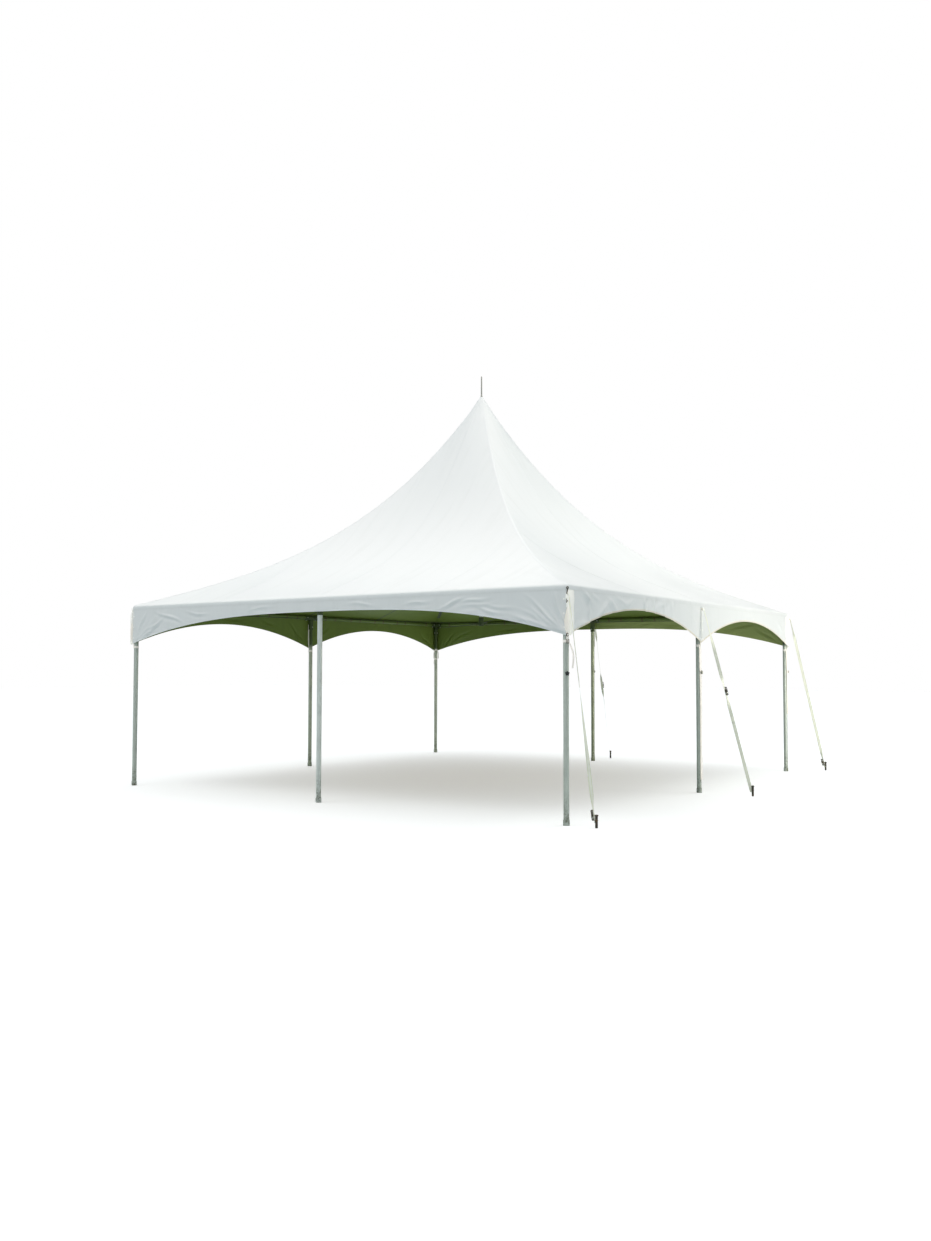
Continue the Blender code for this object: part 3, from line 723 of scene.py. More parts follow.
def valance_folds(across, height, side):
    """How far the cloth stands out from its line."""
    phase = SIDE_PHASE[side]
    fall = np.clip((EAVE_AXIS_Z - height) / VALANCE_DROP, 0, 1.1)
    left, right = FAN_DEPTH[side]
    folds = sum(depth * sin(across * pace + times * phase) for depth, pace, times in SLOW_WAVES) * fall
    folds = folds + fan(across, height, -VALANCE_LINE, left, phase)
    folds = folds + fan(across, height, VALANCE_LINE, right, phase + 1.9)
    if side in ("right", "left"):
        folds = folds + fan(across, height, 0.0, MIDDLE_FAN_DEPTH, phase + 0.8)
    if side == "right":
        slack = exp(-((across + VALANCE_LINE - SLACK_PLACE) / SLACK_BREADTH) ** 2) * fall
        folds = folds + SLACK_DEPTH * slack * sin(across * 43 + height * 31 + 2 * sin(across * 6))
    for place in CREASES[side]:
        folds = folds + crease(across, height, place, CREASE_WIDTH[side])
    puckers = PUCKER_DEPTH * sin(across * 74 + 3 * sin(across * 11)) * exp(-fall * PUCKER_FADE)
    rise = np.clip(fall * 6, 0, 1) ** 0.7
    return rise * (BULGE + folds) + puckers * np.clip(fall * 30, 0, 1)


def quarter_turn(across):
    """The roof's angle at a place along the eave, in quarter turns."""
    return np.arctan(across / VALANCE_LINE) * 2 / math.pi


def eave_line(across):
    """Plan place of the hanging cloth, and the level direction out of it."""
    def place(value):
        return np.stack(roof_point(1.0, quarter_turn(value))[:2], -1)
    across = np.clip(np.asarray(across, float), -VALANCE_LINE, VALANCE_LINE)
    ahead, behind = [place(np.clip(across + step, -VALANCE_LINE, VALANCE_LINE))
                     for step in (0.0015, -0.0015)]
    along = ahead - behind
    along /= np.linalg.norm(along, axis=-1, keepdims=True)
    return place(across), np.stack([along[..., 1], -along[..., 0]], -1)


def valance_point(across, height, side, depth=0.0):
    """A point of a side's valance in the row frame."""
    across, height = np.broadcast_arrays(np.asarray(across, float), np.asarray(height, float))
    base, out = eave_line(across)
    proud = valance_folds(across, height, side) - depth
    return placed(np.concatenate([base + out * proud[..., None], height[..., None]], -1), side)


def valance_shell(across, height, side, upper, lower):
    """A part of a shell that lies on a valance between two depths."""
    across, height = np.broadcast_arrays(across, height)
    return (valance_point(across, height, side, upper), valance_point(across, height, side, lower),
            np.dstack([across, height]))


def bay_columns(bay, spacing=0.0125):
    """Places along a bay, closer together at the tent's corners."""
    left, right = bay[:2]
    even = np.linspace(left, right, int((right - left) / spacing) + 1)
    corner = VALANCE_LINE - np.array([0.0075, 0.0105, 0.0145, 0.020, 0.027, 0.036, 0.048])
    close = np.concatenate([-corner, corner])
    close = close[(close > left + 0.002) & (close < right - 0.002)]
    return np.unique(np.round(np.concatenate([even, close]), 5))


# %% [markdown]
# ## Hanging the four valances
#
# Each bay is a grid: columns along the side, and rows spread evenly between the eave and the
# arch, so rows crowd together over the middle of an arch. The bays of one side are one
# piece. At a middle leg they stay apart by the width of the slit, where a guy comes through.

# %% Valances
VALANCE_ROWS = 34
# The valances' inside faces are painted shade, and the back's also painted light
VALANCE_INSIDE = {**dict.fromkeys(SIDES, INSIDE_IN_PAINTED_SHADE), "back": BACK_INSIDE_PAINTED_SHADE_AND_LIGHT}


def hung_grid(across, bay, top, rows):
    """Heights of a grid between a level and the arch."""
    return top + (arch_edge(across, bay) - top) * np.linspace(0, 1, rows + 1)[:, None]


valances = {}
for side in SIDES:
    parts = []
    for bay in bays(side):
        across = bay_columns(bay)[None, :]
        height = hung_grid(across, bay, EAVE_AXIS_Z, VALANCE_ROWS)
        parts.append(valance_shell(across, height, side, 0.0, CLOTH))
    valances[side] = shell_piece("valance_cloth_" + side, parts, WHITE_VINYL,
                                 VALANCE_INSIDE[side], ["valance_" + side])

# %% [markdown]
# ## Seams, tapes and binding
#
# Vinyl is welded in overlaps. From outside each overlap is a band 24 mm wide, hardly thicker
# than the cloth. A wider band runs down each hip, where two gores meet. Webbing lies under
# it inside and takes the pull from peak to corner. Each band is a strip cut out of the same
# surface and lifted a millimetre, so it can't drift away from the cloth.

# %% Finishes for tapes and webbing
SEAM_VINYL = vinyl("seam_vinyl", (0.865, 0.872, 0.868), (0.78, 0.79, 0.775), 0.36)
# Painted light: the hem is brighter than the white vinyl and glows a little
HEM_VINYL = vinyl("hem_vinyl", (1.0, 0.97, 0.91), (0.97, 0.93, 0.86), 0.42, 0.14)


def webbing(name, colour, stripe, rib, painted_glow=0.0):
    """Woven tape: ribs across its length, a stripe along each edge, and a painted glow that stands in for
    light.
    """
    # Painted light: the tape can glow a little in its own colour
    made = finish(name, colour, 0.85, Sheen_Weight=0.25, Sheen_Roughness=0.5,
                  Emission_Color=(*colour, 1.0), Emission_Strength=painted_glow)
    tree = made.node_tree
    own = coordinates(tree, attribute="cloth")
    from_middle = do("ABSOLUTE", node(tree, "ShaderNodeSeparateXYZ", {0: own}))
    woven = from_middle.mapped(0.0085, 0.0100).between(colour, stripe)
    stain = noise(tree, 4.0, 4.0).mapped(0.35, 0.75, 1.0, 0.84)
    plug(made, Base_Color=node(tree, "ShaderNodeMix", {0: 1.0, 6: woven, 7: stain}, 2,
                               data_type="RGBA", blend_type="MULTIPLY"))
    ribs = wave(tree, own, rib, "Y", Distortion=0.6, Detail=1.0)
    bumped(made, ribs + wave(tree, own, 2.2 * rib, "DIAGONAL") * 0.5, 0.0006, 0.6)
    return made


# Painted light: the guy webbing and the cream webbing glow a little
GUY_WEBBING = webbing("guy_webbing", (0.92, 0.92, 0.79), (0.82, 0.84, 0.67), 0.0022, 0.10)
CREAM_WEBBING = webbing("cream_webbing", (1.0, 0.935, 0.87), (0.98, 0.91, 0.83), 0.0020, 0.18)
# One binding tape in two colours, copied from how it looks in different light: cream-brown on the right
# side and near white on the others. The difference is painted light.
RIGHT_BINDING_PAINTED_LIGHT = webbing("right_binding_painted_light", (0.90, 0.83, 0.70), (0.86, 0.77, 0.62), 0.0018)
OTHER_BINDING_PAINTED_LIGHT = webbing("other_binding_painted_light", (0.97, 0.985, 0.985), (0.95, 0.965, 0.965), 0.0018)
# Painted shade: the hip and seam tapes inside are dark olive, a dark line where shade falls along the
# hips
HIP_WEBBING_IN_PAINTED_SHADE = webbing("hip_webbing", (0.060, 0.085, 0.028), (0.050, 0.072, 0.024), 0.0025)
BROWN_TIE = webbing("brown_tie", (0.17, 0.115, 0.06), (0.13, 0.09, 0.05), 0.0025)
THREAD = finish("thread", (0.80, 0.78, 0.72), 0.7, Sheen_Weight=0.3)


# %% Strips that lie on the roof
SEAM_WIDTH, SEAM_TOP, SEAM_MARGIN = 0.024, 0.16, 0.004
HIP_WIDTH, HIP_TAPE_WIDTH, HIP_ROWS, HIP_LENGTH = 0.045, 0.050, 84, 4.5
# Depths of the faces of a weld, of a hip band, and of the tapes under each inside the tent
SEAM_DEPTHS, HIP_DEPTHS = (-0.0011, 0.0008), (-0.0014, 0.0008)
SEAM_TAPE_DEPTHS, HIP_TAPE_DEPTHS = (CLOTH - 0.0005, CLOTH + 0.001), (CLOTH - 0.0005, CLOTH + 0.0022)


def turn_at(across, down):
    """The quarter-turn angle at which a row of the roof is `across` from the side's middle."""
    turn = np.zeros(np.broadcast(across, down).shape)
    for _ in range(9):
        turn = np.clip(np.arctan(across / -roof_point(down, turn)[1]) * 2 / math.pi, -0.5, 0.5)
    return turn


def on_roof(down, turn, side, depths):
    """The grids of a strip of the roof at two depths."""
    return [placed(np.dstack(roof_point(down, turn, depth)), side) for depth in depths]


def panel_seam(side, across, depths, width=SEAM_WIDTH):
    """A weld that runs straight up the slope until it meets the hip."""
    downs = np.linspace(SEAM_TOP, 1.0, 200)
    hip_x = roof_point(downs, np.full(downs.shape, 0.4999))[0]
    downs = downs[hip_x > abs(across) + width / 2 + SEAM_MARGIN]
    downs = np.unique(np.append(downs[::3], 1.0))[:, None]
    places = across + width * np.array([-1 / 2, -1 / 6, 1 / 6, 1 / 2])[None, :]
    turn = turn_at(places, downs)
    down = np.broadcast_to(downs, turn.shape)
    outer, inner = on_roof(down, turn, side, depths)
    steps = np.linalg.norm(np.diff(outer, axis=0), axis=2)
    length = np.cumsum(np.vstack([np.zeros((1, 4)), steps]), axis=0)
    own = (turn - turn.mean(axis=1, keepdims=True)) * -roof_point(down, turn)[1] * math.pi / 2
    return outer, inner, np.dstack([own, length])


def hip_strip(side, depths, width=HIP_WIDTH, start=0.12, end=1.0):
    """A band down the hip at the right end of a side, as two halves that meet on the hip."""
    rows = np.linspace(start, end, HIP_ROWS)[:, None]
    x, y, _ = roof_point(rows, np.full(rows.shape, 0.5))
    share = np.array([0, 0.25, 0.5, 0.75, 1.0])
    swing = width / 2 * share[None, :] / np.hypot(x, y) * 2 / math.pi
    rows = np.broadcast_to(rows, swing.shape)
    following = list(SIDES)[(SIDES[side] + 1) % 4]
    first = on_roof(rows, 0.5 - swing, side, depths)
    second = on_roof(rows, swing - 0.5, following, depths)
    grids = [np.concatenate([a[:, :0:-1], b], axis=1) for a, b in zip(first, second)]
    across = np.concatenate([-share[:0:-1], share]) * width / 2
    return *grids, np.dstack(np.meshgrid(across, np.linspace(0, HIP_LENGTH, HIP_ROWS)))


SEAM_PLACES = (-1.53, 0.0, 1.53)
SEAMS = [(side, place) for side in SIDES for place in SEAM_PLACES]
parts = [panel_seam(*seam, SEAM_DEPTHS) for seam in SEAMS]
parts += [hip_strip(side, HIP_DEPTHS) for side in SIDES]
roof_seams = shell_piece("roof_seams", parts, SEAM_VINYL)
parts = [hip_strip(side, HIP_TAPE_DEPTHS, HIP_TAPE_WIDTH, 0.1, 0.86) for side in SIDES]
parts += [panel_seam(*seam, SEAM_TAPE_DEPTHS) for seam in SEAMS]
hip_webbing = shell_piece("hip_webbing", parts, HIP_WEBBING_IN_PAINTED_SHADE)


# %% The band at the eave and the binding of the arches
BAND_LIFT, BAND_SEAT = 0.0012, 0.0008
BAND_STEP, BAND_STEPS = 0.008, 3
HEM_WIDTH, HEM_CURL, HEM_CURL_DROP = 0.105, 0.030, 0.09
FLAP_HALF_WIDTH, FLAP_LOW_Z, FLAP_TOP_Z, FLAP_DEPTHS = 0.018, 1.765, 2.070, (0.0035, 0.0050)


def eave_band(side):
    """The sewn band that joins the valance to the roof."""
    across = bay_columns((-VALANCE_LINE, VALANCE_LINE), 0.03)[None, :]
    turn = quarter_turn(across)
    grids = []
    for depth in (-BAND_LIFT, BAND_SEAT):
        rows = [on_roof(np.full(turn.shape, down), turn, side, [depth])[0] for down in (0.962, 0.98, 1.0)]
        rows += [valance_point(across, EAVE_AXIS_Z - BAND_STEP * fall, side, depth) for fall in (1, 2, 3)]
        grids.append(np.concatenate(rows))
    return *grids, np.dstack(np.broadcast_arrays(across, np.arange(6)[:, None] * BAND_STEP))


def edge_place(across, bay, up):
    """Place on the cloth `up` inside the arch's edge, square to it."""
    step = 0.002
    slope = (arch_edge(across + step, bay) - arch_edge(across - step, bay)) / (2 * step)
    size = np.hypot(1, slope)
    return np.clip(across - slope / size * up, bay[0], bay[1]), arch_edge(across, bay) + up / size


def corner_hem(side, bay, end):
    """The thick hem down the end of a valance, which curls out towards the corner."""
    across = np.linspace(*np.sort([end, end - math.copysign(HEM_WIDTH, end)]), 13)[None, :]
    height = hung_grid(across, bay, EAVE_AXIS_Z - BAND_STEPS * BAND_STEP, 24)
    curl = HEM_CURL * np.clip((EAVE_AXIS_Z - height) / HEM_CURL_DROP, 0, 1)
    curl = curl * (1 - np.abs(end - across) / HEM_WIDTH)
    return valance_shell(across, height, side, SEAM_DEPTHS[0] - curl, SEAM_DEPTHS[1])


def slit_flap(side):
    """A strip behind the slit at a middle leg, up to where the guy comes through."""
    across = np.linspace(-FLAP_HALF_WIDTH, FLAP_HALF_WIDTH, 5)[None, :]
    return valance_shell(across, np.linspace(FLAP_LOW_Z, FLAP_TOP_Z, 12)[:, None], side, *FLAP_DEPTHS)


def arch_binding(side, bay, width=0.015):
    """Tape folded round the edge of one arch, proud of the cloth on both faces."""
    across = bay_columns(bay, 0.02)[None, :]
    ups = np.array([width, width * 0.5, -BAND_LIFT])[:, None]
    place, height = edge_place(across, bay, ups)
    outer, inner, _ = valance_shell(place, height, side, -BAND_LIFT, CLOTH + BAND_LIFT)
    return outer, inner, np.dstack(np.broadcast_arrays(ups - width / 2, across))


eave_bands = shell_piece("eave_band", [eave_band(side) for side in SIDES], SEAM_VINYL)
bindings, hems = {}, {}
for side in SIDES:
    parts = [arch_binding(side, bay) for bay in bays(side)]
    # The binding's two colours are painted light: cream-brown on the right, near white elsewhere
    tape = RIGHT_BINDING_PAINTED_LIGHT if side == "right" else OTHER_BINDING_PAINTED_LIGHT
    bindings[side] = shell_piece("arch_binding_" + side, parts, tape, VALANCE_INSIDE[side])
for side in ("right", "back", "left"):
    parts = [slit_flap(side)]
    if side != "back":
        parts += [corner_hem(side, bay, end) for bay, end in zip(bays(side), (-VALANCE_END, VALANCE_END))]
    hems[side] = shell_piece("valance_hems_" + side, parts, HEM_VINYL)

# %% [markdown]
# ## Stitches
#
# The binding is sewn, and so is the band at the eave. A stitch is a short bead of thread, and
# there are thousands, all alike, which is what Geometry Nodes are for. The tree walks along
# lines at an even pitch and puts a bead at each step, turned along the line.

# %% A tree that sews along lines
def stitch_tree():
    """A bead at each step along the lines."""
    tree, given = new_tree("stitches", {"Pitch": float, "Length": float, "Thickness": float,
                                        "Thread": MATERIAL})
    line = node(tree, "GeometryNodeMeshToCurve", {0: given["Geometry"]})
    steps = node(tree, "GeometryNodeCurveToPoints", {"Curve": line, "Length": given["Pitch"]},
                 "Points", mode="LENGTH")
    bead = node(tree, "GeometryNodeMeshCylinder", {"Vertices": 5, "Radius": 0.5, "Depth": 1.0}, "Mesh")
    thick = given["Thickness"]
    size = node(tree, "ShaderNodeCombineXYZ", {0: thick, 1: thick, 2: given["Length"]})
    along = node(tree, "FunctionNodeAlignRotationToVector", {"Vector": steps.other("Tangent")}, axis="Z")
    beads = node(tree, "GeometryNodeInstanceOnPoints",
                 {"Points": steps, "Instance": bead, "Rotation": along, "Scale": size})
    return end_tree(tree, beads, given["Thread"])


def line_mesh(lines):
    """A mesh of open lines, one for each list of points."""
    points, edges = [], []
    for line in lines:
        start = len(points)
        points += [tuple(point) for point in line]
        edges += [(index, index + 1) for index in range(start, len(points) - 1)]
    mesh = bpy.data.meshes.new("lines")
    mesh.from_pydata(points, edges, [])
    return mesh


# How far the thread stands off the cloth, lies inside an arch's edge, and hangs under the eave
THREAD_LIFT, EDGE_STITCH, EAVE_STITCH = 0.0015, 0.011, 0.020
lines = []
for side in SIDES:
    for bay in bays(side):
        place, height = edge_place(bay_columns(bay, 0.03), bay, EDGE_STITCH)
        lines.append(valance_point(place, height, side, -THREAD_LIFT))
    across = bay_columns((-VALANCE_LINE, VALANCE_LINE), 0.05)
    lines.append(valance_point(across, EAVE_AXIS_Z - EAVE_STITCH, side, -THREAD_LIFT))
settled("stitches", run_tree("stitches", stitch_tree(), line_mesh(lines),
                             {"Pitch": 0.009, "Length": 0.006, "Thickness": 0.0012, "Thread": THREAD}),
        60)

# %% [markdown]
# ## Finishes for metal
#
# The frame is drawn aluminium tube that has stood outside for years. Drawing leaves fine lines
# along each tube, handling leaves duller patches, and wet ground splashes the lower legs. The
# tubes' colours also hold painted shade and light: high up, the side towards the mast is painted
# dark, the beams are painted olive and the far legs warmer and greener, as in shade with light
# from grass, and the front middle leg is painted lighter, as lit. Cast fittings are rougher;
# inside the tent they are painted dark olive, as shade, and beyond the valances pale, as lit.
# Buckles and ratchets are painted dark, with bare metal where the paint has rubbed off. The
# imported solids have the right shapes, so they stay and only get these finishes.

# %% Metal
SPLASH_TOP = 0.32
MUD = (0.150, 0.150, 0.090)


def drawn_tube(name, pale, scale, shade_from=0.0, shade=(0.075, 0.105, 0.035)):
    """Weathered tube: lines along it, dull patches, splashes, and painted shade on the side towards the
    mast, above a height.
    """
    made = finish(name, pale, 0.42, 0.30)
    tree = made.node_tree
    lines, patches = noise(tree, 1.0, 4.0, 0.6, scale), noise(tree, 5.0, 5.0, 0.62)
    spots = noise(tree, 34.0, 6.0, 0.7)
    metal = lines.mapped(0.35, 0.65).between(pale, tuple(0.80 * v for v in pale))
    metal = patches.mapped(0.50, 0.72, 0.0, 0.55).between(metal, tuple(0.66 * v for v in pale))
    place = node(tree, "ShaderNodeTexCoord", output="Object")
    height = node(tree, "ShaderNodeSeparateXYZ", {0: place}, 2)
    muddy = height.mapped(0.0, SPLASH_TOP, 1.0, 0.0) * spots.mapped(0.42, 0.62, 0.1, 1.0)
    towards_mast = node(tree, "ShaderNodeVectorMath", {0: tuple(CENTRE), 1: place}, operation="SUBTRACT")
    level_way = towards_mast.vector("MULTIPLY", (1, 1, 0)).vector("NORMALIZE")
    face = node(tree, "ShaderNodeNewGeometry", output="True Normal")
    facing = face.vector("DOT_PRODUCT", level_way, output="Value")
    # Painted shade: above shade_from, the side that faces the mast takes the shade colour
    shaded = height.mapped(shade_from - 0.02, shade_from + 0.06) * facing.mapped(-0.35, 0.25)
    plug(made, Base_Color=shaded.between(muddy.between(metal, MUD), shade),
         Roughness=patches.mapped(0.3, 0.75, 0.30, 0.58))
    bumped(made, lines + spots * 0.6, 0.0006, 0.35)
    return made


def grained(name, colour, worn, roughness, metallic, grain, painted_lit_outside=None, **more):
    """Cast, forged or painted metal: a grain in waves to the metre, and worn places.

    What stands out beyond the valances can be painted in another colour, as if lit.
    """
    made = finish(name, colour, roughness, metallic, **more)
    tree = made.node_tree
    fine, broad = noise(tree, grain, 4.0, 0.6), noise(tree, grain / 7, 5.0, 0.65)
    tone = broad.mapped(0.50, 0.66).between(colour, worn)
    # Painted light: beyond the valances the part takes a lighter colour, as lit
    if painted_lit_outside:
        place = node(tree, "ShaderNodeTexCoord", output="Object")
        away = place.vector("SUBTRACT", tuple(CENTRE)).vector("ABSOLUTE")
        away = node(tree, "ShaderNodeSeparateXYZ", {0: away})
        beyond = do("MAXIMUM", away, away.other(1))
        tone = beyond.mapped(HALF + 0.036, HALF + 0.042).between(tone, painted_lit_outside)
    plug(made, Base_Color=tone, Roughness=fine.mapped(0.3, 0.7, roughness - 0.1, roughness + 0.1))
    bumped(made, fine + broad, 0.0008, 0.4)
    return made


UPRIGHT = (70.0, 70.0, 1.1)
# Painted shade: the beams are painted olive, as in shade with green light from grass, and darker still
# towards the mast
BEAM_SHADED_TONE, BEAM_SHADE = (0.30, 0.39, 0.110), (0.165, 0.225, 0.060)
# One tube in four colours: the front middle leg is painted lighter, as lit, and the far legs warmer and
# greener, as in shade with light from grass. These differences are painted light and shade.
DRAWN = {"near": drawn_tube("near_tube", (0.70, 0.745, 0.67), UPRIGHT, VALANCE_POINT_Z),
         "near_middle": drawn_tube("near_middle_tube_painted_light", (0.93, 0.96, 0.91), UPRIGHT, WIDE_ARCH_TOP_Z),
         "far": drawn_tube("far_tube_painted_shade_and_grass_light", (0.74, 0.76, 0.62), UPRIGHT, VALANCE_POINT_Z),
         "far_middle": drawn_tube("far_middle_tube_painted_shade", (0.66, 0.68, 0.48), UPRIGHT, WIDE_ARCH_TOP_Z),
         "x": drawn_tube("tube_along_x_painted_shade", BEAM_SHADED_TONE, (1.1, 70.0, 70.0), shade=BEAM_SHADE),
         "y": drawn_tube("tube_along_y_painted_shade", BEAM_SHADED_TONE, (70.0, 1.1, 70.0), shade=BEAM_SHADE)}
# Painted light and shade: the cast parts are dark olive inside the tent, as shade with green light from
# grass, and pale beyond the valances, as lit.
CAST_PAINTED_LIGHT_AND_SHADE = grained("cast_aluminium_painted_light_and_shade", (0.070, 0.100, 0.034), (0.100, 0.125, 0.050), 0.60, 0.20, 260.0,
               (0.88, 0.84, 0.74))
# Painted shade: the galvanised ropes are painted dark olive, as in shade under the roof
WIRE_PAINTED_SHADE = grained("wire_rope", (0.075, 0.095, 0.045), (0.060, 0.065, 0.035), 0.55, 0.4, 90.0)
DARK_STEEL = grained("dark_steel", (0.085, 0.072, 0.050), (0.20, 0.17, 0.13), 0.45, 0.35, 300.0)
BRIGHT_STEEL = grained("zinc_steel", (0.60, 0.61, 0.58), (0.45, 0.44, 0.39), 0.40, 0.45, 240.0)
# Painted light: the pale paint glows a little
PALE_PAINT_AND_GLOW = grained("pale_paint_and_painted_glow", (0.97, 0.96, 0.92), (0.92, 0.90, 0.85), 0.45, 0.0, 300.0,
                     Emission_Color=(1.0, 0.98, 0.94, 1.0), Emission_Strength=0.22)
FORGED = grained("forged_stake", (0.085, 0.078, 0.066), (0.21, 0.12, 0.065), 0.60, 0.6, 180.0)
ROD = grained("finial_rod", (0.46, 0.44, 0.395), (0.42, 0.40, 0.355), 0.50, 0.30, 500.0)

TUBE_OF = {"leg_front_middle": "near_middle", "leg_back_middle": "far_middle",
           "leg_back_left": "far", "leg_left_middle": "far"}
for name, solid in frame["nodes"].items():
    kind = name.split("_")[0]
    if kind == "beam":
        low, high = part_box(name)
        coat = DRAWN["x" if (high - low).x > (high - low).y else "y"]
    elif kind == "leg" or name == "mast":
        coat = DRAWN[TUBE_OF.get(name, "near")]
    elif kind == "fitting" or name in ("mast_foot", "crown"):
        coat = CAST_PAINTED_LIGHT_AND_SHADE
    else:
        continue
    solid.data.materials.clear()
    solid.data.materials.append(coat)

# %% [markdown]
# ## Small hard parts from rings
#
# Hooks, wheels, pins and stakes are skins between rings of points. One small class collects
# such solids in a mesh. A turned part is a stack of circles, a plate is a stack of outlines
# with its edges broken, and a bent rod is a circle carried along a path.

# %% A workshop for small parts
def arc(radius, start, end, steps, centre=(0.0, 0.0)):
    """Points of an arc in X and Y, with its angles in degrees."""
    angles = [math.radians(start + (end - start) * step / steps) for step in range(steps + 1)]
    return [(centre[0] + radius * math.cos(a), centre[1] + radius * math.sin(a)) for a in angles]


def raised(outline, height=0.0):
    """Points of an outline in X and Y, at a height."""
    return [(x, y, height) for x, y in outline]


def ring_of(radius, steps, height=0.0):
    """A circle of points about Z."""
    return raised(arc(radius, 0, 360, steps)[:-1], height)


def axes(place, x_axis, z_axis):
    """A frame with its Z along one direction and its X near another."""
    up = Vector(z_axis).normalized()
    side = (Vector(x_axis) - up * Vector(x_axis).dot(up)).normalized()
    return Matrix.Translation(place) @ Matrix((side, up.cross(side), up)).transposed().to_4x4()


class Workpiece:
    """Collects closed solids and makes them one mesh."""

    def __init__(self):
        self.points, self.faces, self.marks = [], [], []

    def skin(self, rings, frame=Matrix(), mark=0, loop=False):
        """A skin between rings; the ends are closed, or joined when it is a loop."""
        start, count = len(self.points), len(rings[0])
        total = len(rings) * count
        self.points += [tuple(frame @ Vector(point)) for ring in rings for point in ring]
        for row in range(len(rings) - (not loop)):
            for step in range(count):
                first, second = row * count + step, row * count + (step + 1) % count
                corners = (first, second, (second + count) % total, (first + count) % total)
                self.faces.append([start + corner for corner in corners])
        if not loop:
            self.faces += [list(range(at, at + count)) for at in (start, start + total - count)]
        self.marks += [mark] * (len(self.faces) - len(self.marks))

    def turned(self, profile, frame=Matrix(), steps=20, mark=0):
        """A part turned on a lathe, from radius and height pairs."""
        self.skin([ring_of(radius, steps, height) for radius, height in profile], frame, mark)

    def plate(self, outline, thickness, frame=Matrix(), mark=0, edge=0.0005):
        """A plate with an outline in X and Y, centred on its plane, its sharp edges broken."""
        middle = sum((Vector(point) for point in outline), Vector((0, 0))) / len(outline)
        inner = [Vector(point) + (middle - Vector(point)).normalized() * edge for point in outline]
        half = thickness / 2
        layers = ((inner, -half), (outline, edge - half), (outline, half - edge), (inner, half))
        self.skin([raised(*layer) for layer in layers], frame, mark)

    def bent(self, path, radius, frame=Matrix(), mark=0, loop=False):
        """A round rod along a path, or a closed ring of rod."""
        path = [Vector(point) for point in path]
        rings, side, last = [], None, len(path) - 1
        for index, point in enumerate(path):
            ahead = path[(index + 1) % len(path)] if loop or index < last else point
            behind = path[index - 1] if loop or index else point
            along = (ahead - behind).normalized()
            side = along.orthogonal() if side is None else side
            side = (side - along * side.dot(along)).normalized()
            rings.append([point + side * x + along.cross(side) * y for x, y, _ in ring_of(radius, 8)])
        self.skin(rings, frame, mark, loop)

    def piece(self, name, slot, *materials, angle=35, stands_for=()):
        """The collected solids as one piece that rides on the tent."""
        return skin_piece(name, self.points, self.faces, self.marks, materials, angle, stands_for)


# %% [markdown]
# ## The rod at the peak
#
# The roof cloth comes up to a small hole at the peak, where the crown's rod goes through it.
# The rod stands in a turned collar that covers the hole, and it thins a little to its round end.

# %% The rod
FINIAL_TOP_Z, FINIAL_RADIUS = 5.304, 0.0095

rod = Workpiece()
rod.turned([(0.0090, 5.0205), (0.0092, 5.0278), (0.0136, 5.0290), (0.0142, 5.0310), (0.0140, 5.0370),
            (0.0122, 5.0405), (FINIAL_RADIUS, 5.043), (0.0088, 5.15), (0.0082, 5.290), (0.0076, 5.298),
            (0.0052, 5.3028), (0.0015, FINIAL_TOP_Z)], Matrix.Translation(CENTRE), 24)
rod.piece("finial_rod", "finial", ROD, stands_for=["finial"])

# %% [markdown]
# ## Wire ropes under the roof
#
# Four galvanised ropes run from the corner fittings to the mast foot and lift the middle. A
# rope is five strands twisted round each other. The tree takes a straight line for each rope,
# divides it, winds five copies of it into spirals, and gives each a round section.

# %% Ropes and their end sleeves
LUG_Z, MAST_LUG_Z = EAVE_AXIS_Z - 0.058, 2.015
CORNER_LUG_REACH, MAST_LUG_REACH = 0.065, 0.075
ROPE_GAP = 0.0006


def rope_tree():
    """Strands wound about each line."""
    tree, given = new_tree("wire_ropes", {"Twist length": float, "Points a turn": int, "Strands": int,
                                          "Strand radius": float, "Lay radius": float, "Wire": MATERIAL})
    line = node(tree, "GeometryNodeMeshToCurve", {0: given["Geometry"]})
    step = given["Twist length"] / given["Points a turn"]
    fine = node(tree, "GeometryNodeResampleCurve", {"Curve": line, "Length": step}, mode="LENGTH")
    copies = node(tree, "GeometryNodeDuplicateElements", {"Geometry": fine, "Amount": given["Strands"]},
                  domain="SPLINE")
    length = node(tree, "GeometryNodeSplineParameter", output="Length")
    phase = copies.other("Duplicate Index") / given["Strands"]
    angle = (length / given["Twist length"] + phase) * math.tau
    tangent = node(tree, "GeometryNodeInputTangent")
    side = tangent.vector("CROSS_PRODUCT", tuple(UP)).vector("NORMALIZE")
    spun = node(tree, "ShaderNodeVectorRotate", {"Vector": side, "Axis": tangent, "Angle": angle},
                rotation_type="AXIS_ANGLE")
    offset = node(tree, "ShaderNodeVectorMath", {0: spun, "Scale": given["Lay radius"]},
                  operation="SCALE")
    wound = node(tree, "GeometryNodeSetPosition", {"Geometry": copies, "Offset": offset})
    section = node(tree, "GeometryNodeCurvePrimitiveCircle",
                   {"Resolution": 5, "Radius": given["Strand radius"]}, "Curve")
    strands = node(tree, "GeometryNodeCurveToMesh",
                   {"Curve": wound, "Profile Curve": section, "Fill Caps": True})
    return end_tree(tree, strands, given["Wire"])


def rope_ends(post):
    """Where a rope leaves its corner plate and where it meets the mast foot."""
    away = outward(post)
    return (post_point(post, LUG_Z) - away * (CORNER_LUG_REACH + ROPE_GAP),
            CENTRE + away * (MAST_LUG_REACH + ROPE_GAP) + UP * MAST_LUG_Z)


